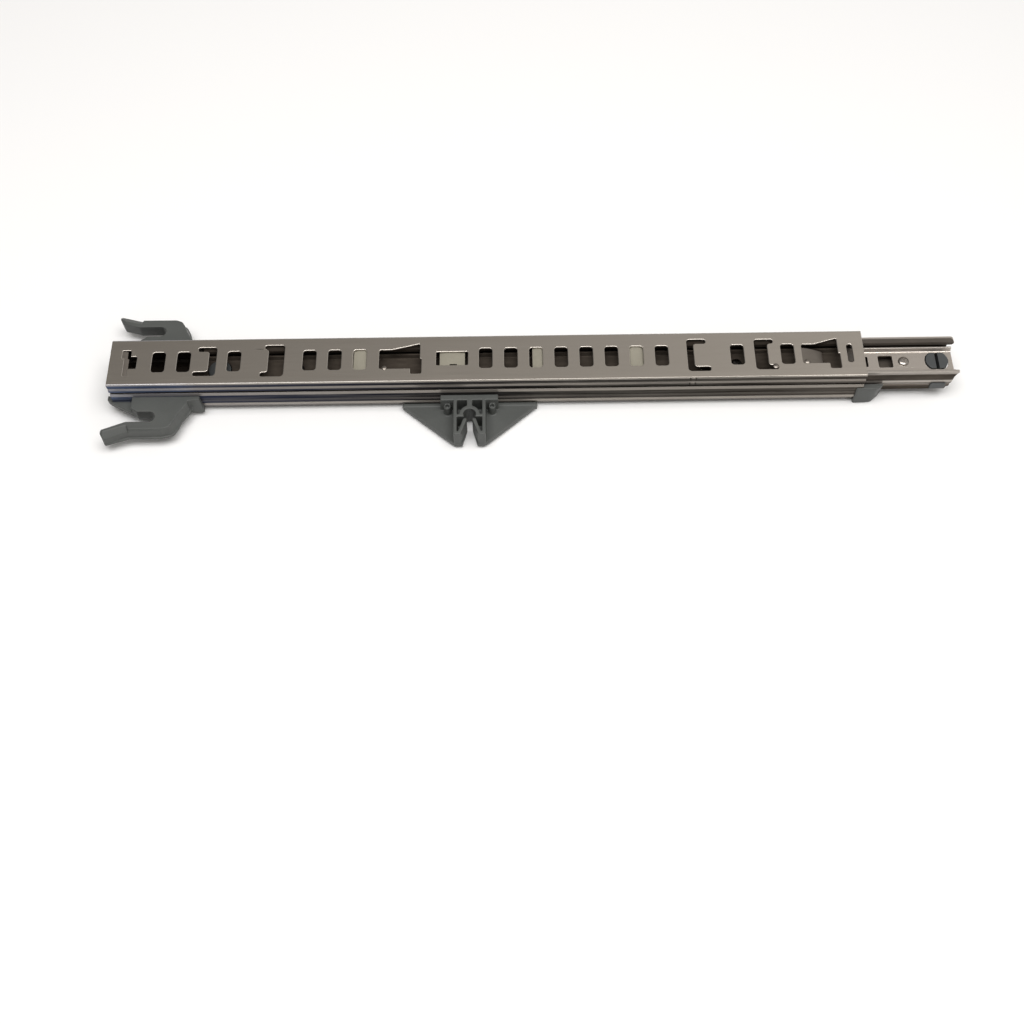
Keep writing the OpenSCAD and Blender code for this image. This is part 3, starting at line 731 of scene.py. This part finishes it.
def drawer_flaps():
    """Tongues and rolled ears that the press left in the windows."""
    flaps = [
        swept_flap(FRONT_FUNNEL_X, 13, -6.9, 4.2, 4.5),
        bent_strip([(-216.4, 0.1), (-215.3, 0.25), (-214.4, 0.5), (-213.4, 0.8)], (-9.6, 3.0), 0.5),
        bent_strip([(-218.0, 0.1), (-216.6, 0.3), (-215.4, 0.55), (-214.4, 0.8)], (3.0, 8.2), 0.5),
        curl(REAR_FUNNEL_X + 3.2, -6.4, 1.7),
        curl(FRONT_FUNNEL_X + 2.7, -5.6, 1.9),
        curl(171.5, -8.6, 1.9),
    ]
    piece = softened(joined(flaps), 0.15)
    return finished(piece, "drawer_flaps_steel", "drawer_member", "rail_steel", flap_steel)


# ---------------------------------------------------------------- middle rail

upper_half = [
    (0, FLOOR_DEPTH, 0), (7.0, FLOOR_DEPTH, 0.7), (7.9, 7.0, 0.4), (8.9, 7.0, 0.35), (9.5, 14.2, 0.3),
    (11.0, 14.2, 0.3), (11.6, 13.4, 0.3), (11.6, 9.2, 0.8), (10.05, 6.9, 0.8), (10.05, 4.4, 0.8),
    (11.6, 2.3, 0),
    (12.8, 2.3, 0), (12.8, 3.0, 0.3), (11.25, 4.5, 0.8), (11.25, 6.7, 0.8), (12.8, 8.9, 0.8),
    (12.8, 13.6, 0.8),
    (12.4, SEAM_DEPTH, 0.6), (8.4, SEAM_DEPTH, 0.5), (7.7, 10.7, 0.6), (0, 10.7, 0),
]

lower_half = [
    (0, SEAM_DEPTH, 0), (12.5, SEAM_DEPTH, 0.8), (12.8, 17.6, 0.8), (11.25, 18.7, 1), (11.25, 20.7, 1),
    (11.45, 21.9, 0), (10.15, 21.9, 0), (10.05, 20.7, 0.6), (10.05, 18.9, 0.6), (11.2, 17.8, 0.5),
    (11.2, 16.6, 0.4), (0, 16.6, 0),
]

nose_cut = [
    (NOSE - 8, 1.3, 0), (NOSE - 8, 2.3, 0), (NOSE, 2.3, 3), (NOSE, 6, 1.5), (NOSE - 2.8, 8.6, 1.5),
    (NOSE - 3.2, 13.4, 1), (NOSE - 5.2, 22.5, 0), (NOSE + 1, 22.5, 0), (NOSE + 1, 1.3, 0),
]


def plug_outline(x, radius, half_w):
    """Circle with two flats, at a place along the rail."""
    reach = math.asin(half_w / radius)
    steps = 9
    points = []
    for side in (0, math.pi):
        for i in range(steps + 1):
            angle = side - reach + 2 * reach * i / steps
            points.append((x + radius * math.cos(angle), radius * math.sin(angle), 0))
    return points


def middle_upper():
    """Upper half of the middle rail, with its nose, slit, square hole and plug holes."""
    rail = along_x(both_sides(upper_half), (MIDDLE_REAR, NOSE))
    floor_end = rectangle(MIDDLE_FRONT, NOSE + 1, -9.21, 9.21)
    cut(rail, across_y(nose_cut, -20, -9.2), across_y(nose_cut, 9.2, 20), upright(floor_end, -1, TOP))
    floor_z = TOP - FLOOR_DEPTH
    openings = [
        rectangle(SLIT_X - 0.85, SLIT_X + 0.85, -3.75, 3.75, 0.7),
        rectangle(SQUARE_HOLE_X - 4.4, SQUARE_HOLE_X + 4.4, -4.35, 4.35, 1),
        plug_outline(FRONT_PLUG_X, 7.2, 5.9),
        plug_outline(REAR_PLUG_X, 7.2, 5.9),
    ]
    cut(rail, joined([upright(corners, floor_z - 2, floor_z + 1) for corners in openings]))
    softened(rail, 0.25)
    return finished(rail, "middle_rail_upper_steel", "middle_member", "inner_steel", upper_steel,
                    "middle_rail_upper")


def middle_lower():
    """Lower half of the middle rail, with side windows for the tabs of the stops."""
    rail = along_x(both_sides(lower_half), (MIDDLE_REAR, NOSE))
    cut(rail, across_y(nose_cut, -20, 20))
    windows = []
    for x in (FRONT_PLUG_X, REAR_PLUG_X):
        for side in (-1, 1):
            windows.append(across_y(rectangle(x - 4.6, x + 4.6, 16.8, 19), *sorted((side * 9, side * 14))))
    cut(rail, joined(windows))
    softened(rail, 0.25)
    return finished(rail, "middle_rail_lower_steel", "middle_member", "inner_steel", lower_steel,
                    "middle_rail_lower")


def cross_rivet(x):
    """Domed rivet head with a cross recess, on a spacer between the two halves."""
    head = TOP - FLOOR_DEPTH
    tail = TOP - SEAM_DEPTH - SHEET
    body = turned([
        (0, head + 1.15), (1.6, head + 1.1), (2.7, head + 0.85), (3.2, head + 0.4), (3.3, head),
        (2.2, head - 0.02),
        (2.2, tail), (3.2, tail - 0.05), (3.1, tail - 0.55), (2.2, tail - 0.9), (0, tail - 0.95),
    ], (x, 0, 0))
    arms = []
    for turn in (35, 125):
        arm = upright(rectangle(-1.9, 1.9, -0.48, 0.48, 0.3), head + 0.25, head + 2)
        arm.data.transform(Matrix.Translation((x * MM, 0, 0)) @ Matrix.Rotation(math.radians(turn), 4, "Z"))
        arms.append(arm)
    return cut(body, *arms)


def joining_rivets():
    rivets = joined([cross_rivet(x) for x in JOINT_RIVETS])
    softened(rivets, 0.08, angle=40)
    return finished(rivets, "joining_rivets_zinc", "middle_member", "zinc", zinc, "joining_rivets")


def stop(x, name, node):
    """Moulded stop: split plug through both floors, a block below and a tab on each side."""
    top = TOP - FLOOR_DEPTH + 1.0
    block_top = TOP - SEAM_DEPTH - SHEET
    block = upright(rectangle(x - 5.2, x + 5.2, -9.7, 9.7, 1.0), TOP - 21.6, block_top)
    plug = upright(plug_outline(x, 6.7, 5.5), block_top - 1, top)
    parts = [block, plug]
    for side in (-1, 1):
        y0, y1 = sorted((side * 9, side * 13.4))
        parts.append(upright(rectangle(x - 4.5, x + 4.5, y0, y1, 0.3), TOP - 18.9, TOP - 16.9))
        y0, y1 = sorted((side * 12.8, side * 13.6))
        parts.append(across_y([
            (x - 4.5, 13.4, 0.6), (x + 4.5, 13.4, 0.6), (x + 4.5, 17.4, 0), (x + 2.8, 18.9, 0.5),
            (x - 4.5, 18.9, 0.6),
        ], y0, y1))
    moulding = moulded(joined(parts), 0.22, 4)
    cut(moulding, upright(rectangle(x - 0.95, x + 0.95, -8, 8, 0.4), TOP - SEAM_DEPTH, top + 1))
    softened(moulding, 0.12, angle=50)
    return finished(moulding, name, "middle_member", "grey_plastic", stop_plastic, node)


# ---------------------------------------------------------------- ball cages


def crowned_bridge(offset, width, depth, reach):
    """Cross bridge of a cage, thicker along its middle and rounded on its edges."""
    half = width / 2
    crown = half * 0.4
    corners = [
        (offset - half, depth + 0.8, 0.08), (offset - half, depth + 0.5, 0.12), (offset - crown, depth, 2.0),
        (offset + crown, depth, 2.0), (offset + half, depth + 0.5, 0.12), (offset + half, depth + 0.8, 0.08),
    ]
    return across_y(corners, -reach, reach)


def cage_strip(middle_x, side, low_depth, high_depth, row_depth):
    """Side strip of a cage with a seat for each ball."""
    y0, y1 = sorted((side * 13.1, side * 13.85))
    half = CAGE_LEN / 2
    strip = across_y(rectangle(middle_x - half, middle_x + half, low_depth, high_depth, 1.0), y0, y1)
    seat = [(0, -1), (2.0, -1), (2.0, 1), (0, 1)]
    seats = []
    for i in range(BALLS):
        x = middle_x + BALL_PITCH * (i - (BALLS - 1) / 2)
        seats.append(turned(seat, (x, side * 13.45, TOP - row_depth), "Y", 28))
    return cut(strip, joined(seats))


def upper_cage():
    depth = SHEET + 0.2
    parts = [cage_strip(UPPER_CAGE_X, side, depth, 8.9, UPPER_BALL_DEPTH) for side in (-1, 1)]
    parts += [crowned_bridge(UPPER_CAGE_X + offset, width, depth, CAGE_REACH) for offset, width in BRIDGES]
    cage = weld(parts[0], *parts[1:])
    notch_x = UPPER_CAGE_X + BRIDGES[1][0] + 0.6
    cut(cage, upright(rectangle(notch_x - 2.3, notch_x + 2.3, -7.5, -3.1, 0.4), TOP - depth - 2, TOP))
    softened(cage, 0.12)
    return finished(cage, "upper_cage_moulding", "upper_ball_cage", "cream_plastic", cream_plastic,
                    "upper_cage")


def lower_cage():
    depth = CABINET_FLOOR_DEPTH - 0.9
    parts = [cage_strip(LOWER_CAGE_X, side, 17.3, depth + 0.7, LOWER_BALL_DEPTH) for side in (-1, 1)]
    parts += [crowned_bridge(LOWER_CAGE_X + offset, width, depth, CAGE_REACH) for offset, width in BRIDGES]
    cage = softened(weld(parts[0], *parts[1:]), 0.12)
    return finished(cage, "lower_cage_moulding", "lower_ball_cage", "cream_plastic", cream_plastic,
                    "lower_cage")


def cage_rollers():
    """Barrel rollers under two of the bridges."""
    depth = SHEET + 0.2 + 0.75 + 2.4
    barrel = [
        (0, -5), (1.7, -5), (2.1, -4.6), (2.38, -2.5), (2.4, 0), (2.38, 2.5), (2.1, 4.6), (1.7, 5), (0, 5),
    ]
    rollers = []
    for offset, _ in BRIDGES[2:]:
        rollers.append(turned(barrel, (UPPER_CAGE_X + offset, 0, TOP - depth), "Y", 36))
    return finished(joined(rollers), "cage_rollers_moulding", "upper_ball_cage", "cream_plastic",
                    cream_plastic, "cage_rollers")


def balls():
    """The balls stay as they were made, with a better finish."""
    for node in ("upper_near_balls", "upper_far_balls", "lower_near_balls", "lower_far_balls"):
        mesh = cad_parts[node].data
        mesh.materials.clear()
        mesh.materials.append(ball_steel)
        for polygon in mesh.polygons:
            polygon.use_smooth = True


# ---------------------------------------------------------------- cabinet rail and its mouldings

cabinet_half = [
    (0, CABINET_FLOOR_DEPTH, 0), (14.0, CABINET_FLOOR_DEPTH, 0.6), (TRACK_Y, 21.6, 1.2), (TRACK_Y, 18.6, 1.0),
    (14.6, 16.9, 0.8), (15.3, 15.3, 0.8), (15.3, 9.9, 0), (15.9, 9.9, 0.2), (HALF_W, 12.2, 0.6),
    (HALF_W, 15.4, 0.8),
    (15.85, 16.9, 0.6), (OUTER_Y, 18.1, 0.5), (OUTER_Y, 19.1, 0.5), (16.1, 20.1, 0.3), (OUTER_Y, 21.2, 0.4),
    (OUTER_Y, 22.2, 1.2), (14.8, 26.0, 1.2), (0, 26.0, 0),
]


def cabinet_rail():
    rail = along_x(both_sides(cabinet_half), (REAR, FRONT))
    softened(rail, 0.25)
    return finished(rail, "cabinet_rail_steel", "cabinet_member", "rail_steel", channel_steel, "cabinet_rail")


def floor_rivets(name, node, stations):
    """Flat rivets with a dished foot, flush with the plates under the rail."""
    rivets = []
    for x in stations:
        rivets.append(turned([
            (0, 0.6), (1.1, 0.55), (1.5, 0.2), (2.0, 0.15), (2.18, 0.4), (2.18, 2.4), (1.95, 2.6), (0, 2.6),
        ], (x, 0, 0), segments=36))
    return finished(joined(rivets), name, "cabinet_member", "zinc", zinc, node)


def rivet_bores(stations):
    """Bores for the rivets through the foot of a moulding."""
    bore = [(0, -1), (RIVET_BORE_R, -1), (RIVET_BORE_R, 4), (0, 4)]
    return [turned(bore, (x, 0, 0), segments=36) for x in stations]


# Hooks: thickness, the pin they take and the cheek beside the rail
HOOK_T = 8.8
PIN_Y = 31
SLOT_HALF = 3.45
SLOT_END = -200.5
CHEEK_Y = 16.9
GUSSET_TOP = TOP - 16.2

# Free end of a hook: the corner beside the slot and the outer corner
NEAR_TIP = ((-229.2, -40.4), (-226.4, -45.4))
FAR_TIP = ((-224.2, -37.6), (-228.4, -45))


def hook_corners(tip):
    """Plan of a hook on the near side: each corner, and how far the foot of its side stands out."""
    slot_edge, outer = tip
    return [
        ((-212, -CHEEK_Y, 0), (0, 0)), ((-212, -24.8, 1.5), (0, 0)), ((-208.6, -27.1, 0), (0, 0)),
        ((-208.6, -PIN_Y + SLOT_HALF, 0), (0, 0)), ((-200, -PIN_Y + SLOT_HALF, 0), (0, 0)),
        ((-200, -PIN_Y - SLOT_HALF, 0), (0, 0)), ((-213.9, -PIN_Y - SLOT_HALF, 2), (0, 0)),
        ((*slot_edge, 1.5), (0, 0)), ((*outer, 1.5), (0, -0.2)), ((-213, -40.4, 3), (0, -0.4)),
        ((-193, -40.2, 4), (0.2, -0.4)), ((-187.7, -38.2, 2.5), (0.9, -0.9)),
        ((-185.2, -33.8, 2), (1.2, -0.4)),
        ((-184.0, -30.3, 2), (1.2, -0.3)), ((-178.6, -21.7, 1.5), (0.8, -0.4)), ((-178.6, -20, 0), (0, 0)),
        ((-171.7, -20, 1), (0, 0)), ((-171.7, -CHEEK_Y, 0), (0, 0)),
    ]


def edge_wedge(a, b, top, width, drop):
    """Three-sided bar along an upper outer edge from a to b, which takes the edge off."""
    start, end = Vector(a), Vector(b)
    along = (end - start).normalized()
    outward = Vector((along.y, -along.x))
    start -= along * 0.5
    end += along * 0.5
    bm = bmesh.new()
    rings = []
    for p in (start, end):
        inner = p - outward * width
        outer = p + outward * 1.5
        rings.append([(inner.x, inner.y, top + 0.01), (inner.x, inner.y, top + 2),
                      (outer.x, outer.y, top + 2), (outer.x, outer.y, top - drop * (1 + 1.5 / width))])
    skin(bm, rings)
    return new_object("wedge", bm)


def hook(tip):
    """Hook on the near side with its cheek beside the rail and its foot and gusset under it."""
    slot_edge, outer = Vector(tip[0]), Vector(tip[1])
    corners = [corner for corner, _ in hook_corners(tip)]
    flares = [flare for _, flare in hook_corners(tip)]
    low = HOOK_TOP - HOOK_T
    plate = drafted(corners, flares, low, HOOK_TOP)
    out = (outer - slot_edge).normalized() * 0.4
    cut(plate,
        edge_wedge(outer + out, (-212, -41.2), HOOK_TOP, 4.6, 3.2),
        edge_wedge((-214.5, -41.2), (-191, -41.0), HOOK_TOP, 1.6, 2.2),
        edge_wedge(slot_edge - out, outer + out * 3, HOOK_TOP, 1.8, 1.8))
    lip = upright([
        (*slot_edge, 1.2), (outer.x, outer.y - 0.6, 1.2), (-212.8, -41.6, 3), (-192.6, -41.4, 4),
        (-186.4, -39.6, 2.5), (-183.6, -34.4, 2), (-182.5, -30.5, 2), (-177.6, -23.4, 1), (-177.6, -19, 0),
        (-196, -19, 0), (-196, -35.0, 3), (-214.0, -35.2, 2),
    ], low - 0.2, low + 1.3)
    cheek = drafted(rectangle(-212, -171.7, -20, -CHEEK_Y, 0.3), [(0, -0.2), (1.0, -0.4), (1.0, 0), (0, 0)],
                    3.6, HOOK_TOP)
    skirt = upright(rectangle(-212, -172.5, -18.2, -CHEEK_Y, 0), 0, 8)
    foot = upright(rectangle(-212, -171.7, -18, 0, 0), 0.1, 3.0)
    gusset = upright([
        (-228.2, -12.8, 0.5), (-228.2, -15.6, 1.5), (-225.7, -17.8, 2), (-209, -26.8, 0), (-204, -24, 0),
        (-204, -CHEEK_Y, 0), (REAR - 0.05, -CHEEK_Y, 0), (REAR - 0.05, -12.8, 0.3),
    ], GUSSET_TOP - 3.6, GUSSET_TOP)
    slot_round = [(0, -6), (SLOT_HALF, -6), (SLOT_HALF, 6), (0, 6)]
    slot = turned(slot_round, (SLOT_END, -PIN_Y, low + 4), segments=48)
    cut(plate, slot)
    return [plate, lip, cheek, skirt, foot, gusset]


def rear_hook_bracket():
    parts = hook(NEAR_TIP) + [mirrored(part) for part in hook(FAR_TIP)]
    bracket = moulded(joined(parts), 0.3, 7)
    seat = [(0, 8.9, 0), (16.6, 8.9, 0), (16.6, 23.6, 1.4), (15.0, 26.02, 1), (0, 26.02, 0)]
    cut(bracket, along_x(both_sides(seat), (REAR - 0.05, FRONT)))
    cut(bracket, *rivet_bores(BRACKET_RIVETS))
    return finished(bracket, "hook_bracket_moulding", "cabinet_member", "grey_plastic", grey_plastic,
                    "rear_hook_bracket")


# Snap clip: its box, wings and ring
BOX_HALF = 9.6
BOX_WALL = 2.1
BOX_END = -45.8
BAR_Y = -21.8
WING_TOP = 4.8
MOUTH_HALF = 1.35
RING_R = 6.0
BORE_R = 3.7


def snap_arch(low, high):
    """Arch of the snap ring, with the stem and the feet that tie it to the box."""
    bar_w = 1.9
    arch = []
    for i in range(25):
        angle = math.pi * i / 24
        arch.append((CLIP_X + RING_R * math.cos(angle), -CLIP_Y + RING_R * math.sin(angle), 0))
    arch += [(CLIP_X - RING_R, -CLIP_Y - bar_w, 0.4), (CLIP_X + RING_R, -CLIP_Y - bar_w, 0.4)]
    feet = rectangle(CLIP_X - BOX_HALF + 1, CLIP_X + BOX_HALF - 1, -CLIP_Y - bar_w, -CLIP_Y, 0)
    stem = rectangle(CLIP_X - 1.6, CLIP_X + 1.6, -CLIP_Y + RING_R - 1, BAR_Y + 1, 0)
    return [upright(corners, low, high) for corners in (arch, feet, stem)]


def snap_arm(side, low, high):
    """Springy arm from the end of the box's wall back up to a jaw."""
    jaw_y = -CLIP_Y - 3
    corners = [
        (CLIP_X + side * MOUTH_HALF, jaw_y, 0.6), (CLIP_X + side * 3.7, jaw_y, 0.9),
        (CLIP_X + side * 6.7, -43.5, 0), (CLIP_X + side * (BOX_HALF - 0.5), -44.2, 0),
        (CLIP_X + side * (BOX_HALF - 0.5), BOX_END, 0.5), (CLIP_X + side * 5.2, BOX_END, 1),
    ]
    return upright(corners, low, high)


def snap_clip():
    """Box with the snap ring in it, wings on both sides and a plate under the rail."""
    low = 1.7
    box = upright(rectangle(CLIP_X - BOX_HALF, CLIP_X + BOX_HALF, BOX_END, BAR_Y, 0.9), low, CLIP_TOP)
    room = BOX_HALF - BOX_WALL
    cut(box, upright(rectangle(CLIP_X - room, CLIP_X + room, BOX_END - 1, BAR_Y, 0), WING_TOP, CLIP_TOP + 1))
    wings = upright([
        (-51.4, -16.9, 1), (-51.4, -19, 1), (-21.5, -44.5, 1.5), (-19, -46, 1.5), (-2, -46, 1.5),
        (0.5, -44.5, 1.5), (30, -19, 1), (30, -16.9, 1),
    ], low, WING_TOP)
    rib = upright(rectangle(-50.6, 30, -19, -16.9, 0.4), 0.1, WING_TOP + 0.25)
    bar = upright(rectangle(CLIP_X - 17.4, CLIP_X + 17.0, -21.8, -18.0, 0.5), 0.1, CLIP_TOP)
    plate = upright(rectangle(-50.6, 30, -18.4, 17.8, 1.0), 0.1, TOP - CABINET_FLOOR_DEPTH - SHEET - 0.05)
    parts = [box, wings, rib, bar, plate] + snap_arch(low, CLIP_TOP)
    boss = [(0, -5.5), (2.3, -5.5), (2.1, 4.0), (1.8, 4.6), (1.25, 4.6), (1.2, 2.4), (0, 2.3)]
    for side in (-1, 1):
        parts.append(snap_arm(side, low, CLIP_TOP))
        parts.append(turned(boss, (CLIP_X + side * 13.4, -23.6, 7.2), segments=32))
    clip = joined(parts)
    right = [(MOUTH_HALF, -CLIP_Y - 2), (MOUTH_HALF + 0.3, -CLIP_Y - 4), (5, -48)]
    mouth = [(CLIP_X + dx, y, 0) for dx, y in right] + [(CLIP_X - dx, y, 0) for dx, y in right[::-1]]
    clip = moulded(clip, 0.26, 4)
    cut(clip, upright(mouth, -1, CLIP_TOP + 1),
        turned([(0, -1), (BORE_R, -1), (BORE_R, 20), (0, 20)], (CLIP_X, -CLIP_Y, 0), segments=64))
    moulded(clip, 0.26, 2)
    cut(clip, *rivet_bores(CLIP_RIVETS))
    return finished(clip, "snap_clip_moulding", "cabinet_member", "grey_plastic", grey_plastic, "snap_clip")


def end_cap():
    """Shoe round the cabinet rail's front end, with big rounds towards the front."""
    rear = FRONT - 4
    front = cap_high.x
    half_w = cap_high.y
    shell = drafted([
        (rear, -half_w, 0.8), (front - 6, -half_w, 5), (front, -12.4, 4), (front, 12.4, 4),
        (front - 6, half_w, 5), (rear, half_w, 0.8),
    ], [(0, 0), (-1.6, 0.4), (-1.6, 0.4), (-1.6, -0.4), (-1.6, -0.4), (0, 0)], cap_low.z, cap_high.z)
    cap = moulded(shell, 0.3, 9)
    seat = [(0, 8.9, 0), (16.62, 8.9, 0), (16.62, 24.2, 1.4), (15.2, 26.1, 1), (0, 26.1, 0)]
    mouth = [(0, 8.9, 0), (14, 8.9, 0), (14, 23.6, 1), (0, 23.6, 0)]
    cut(cap, along_x(both_sides(seat), (rear - 1, FRONT + 0.05)),
        along_x(both_sides(mouth), (FRONT - 1, front + 2)))
    return finished(cap, "end_cap_moulding", "cabinet_member", "grey_plastic", grey_plastic, "front_end_cap")


# ---------------------------------------------------------------- studio


def floor():
    """Plain pale bench top."""
    bpy.ops.mesh.primitive_plane_add(size=6)
    plane = bpy.context.object
    plane.name = "bench"
    n = Nodes("bench_top")
    n.set("Base Color", (0.86, 0.86, 0.86, 1))
    n.set("Roughness", 0.9)
    n.set("Specular IOR Level", 0.1)
    plane.data.materials.append(n.material)


def surroundings():
    """Soft room light, a little brighter towards the front end."""
    world = bpy.data.worlds.new("room")
    bpy.context.scene.world = world
    world.use_nodes = True
    tree = world.node_tree
    direction = tree.nodes.new("ShaderNodeTexCoord").outputs["Generated"]
    split = tree.nodes.new("ShaderNodeSeparateXYZ")
    tree.links.new(direction, split.inputs[0])
    sideways = tree.nodes.new("ShaderNodeMapRange")
    tree.links.new(split.outputs["X"], sideways.inputs[0])
    sideways.inputs[1].default_value = -1
    room = tree.nodes.new("ShaderNodeValToRGB")
    elements = room.color_ramp.elements
    stops = [(0.0, 0.14), (0.36, 0.25), (0.5, 0.37), (0.64, 0.55), (1.0, 0.60)]
    while len(elements) < len(stops):
        elements.new(0.5)
    for element, (at, bright) in zip(elements, stops):
        element.position = at
        element.color = (bright, bright * 0.965, bright * 0.92, 1)
    tree.links.new(sideways.outputs[0], room.inputs[0])
    tree.links.new(room.outputs[0], tree.nodes["Background"].inputs["Color"])


def softbox(name, place, aim, size, power, colour):
    light = bpy.data.lights.new(name, "AREA")
    light.shape = "RECTANGLE"
    light.size, light.size_y = size
    light.energy = power
    light.color = colour
    lamp = bpy.data.objects.new(name, light)
    lamp.location = place
    lamp.rotation_euler = (Vector(aim) - Vector(place)).to_track_quat("-Z", "Y").to_euler()
    lamp.visible_camera = False
    bpy.context.scene.collection.objects.link(lamp)


def lights():
    """A large softbox overhead and a faint one in front."""
    near_white = (1.0, 0.99, 0.98)
    softbox("key_softbox", (0.05, -0.2, 1.4), (0.05, 0, 0), (1.6, 0.8), 22, near_white)
    softbox("front_fill", (0.1, -1.5, 0.75), (0, 0, 0), (1.8, 0.5), 1.8, near_white)


def camera():
    """Looks down across the slide from the front of its near side, a little rolled."""
    data = bpy.data.cameras.new("camera")
    data.sensor_width = 36
    data.lens = 47.46
    view = bpy.data.objects.new("camera", data)
    tilt = Matrix.Rotation(math.radians(29), 4, "X")
    roll = Matrix.Rotation(math.radians(-0.77), 4, "Z")
    view.matrix_world = Matrix.Translation((0.0139, -0.4703, 0.6861)) @ tilt @ roll
    bpy.context.scene.collection.objects.link(view)
    bpy.context.scene.camera = view


# ---------------------------------------------------------------- the whole object

camera()
drawer_rail()
drawer_flaps()
middle_upper()
middle_lower()
joining_rivets()
stop(FRONT_PLUG_X, "front_stop_moulding", "front_stop")
stop(REAR_PLUG_X, "rear_stop_moulding", "rear_stop")
upper_cage()
lower_cage()
cage_rollers()
balls()
cabinet_rail()
floor_rivets("bracket_rivets_zinc", "bracket_rivets", BRACKET_RIVETS)
floor_rivets("clip_rivets_zinc", "clip_rivets", CLIP_RIVETS)
rear_hook_bracket()
snap_clip()
end_cap()
floor()
surroundings()
lights()
bpy.context.scene.view_settings.view_transform = "Standard"
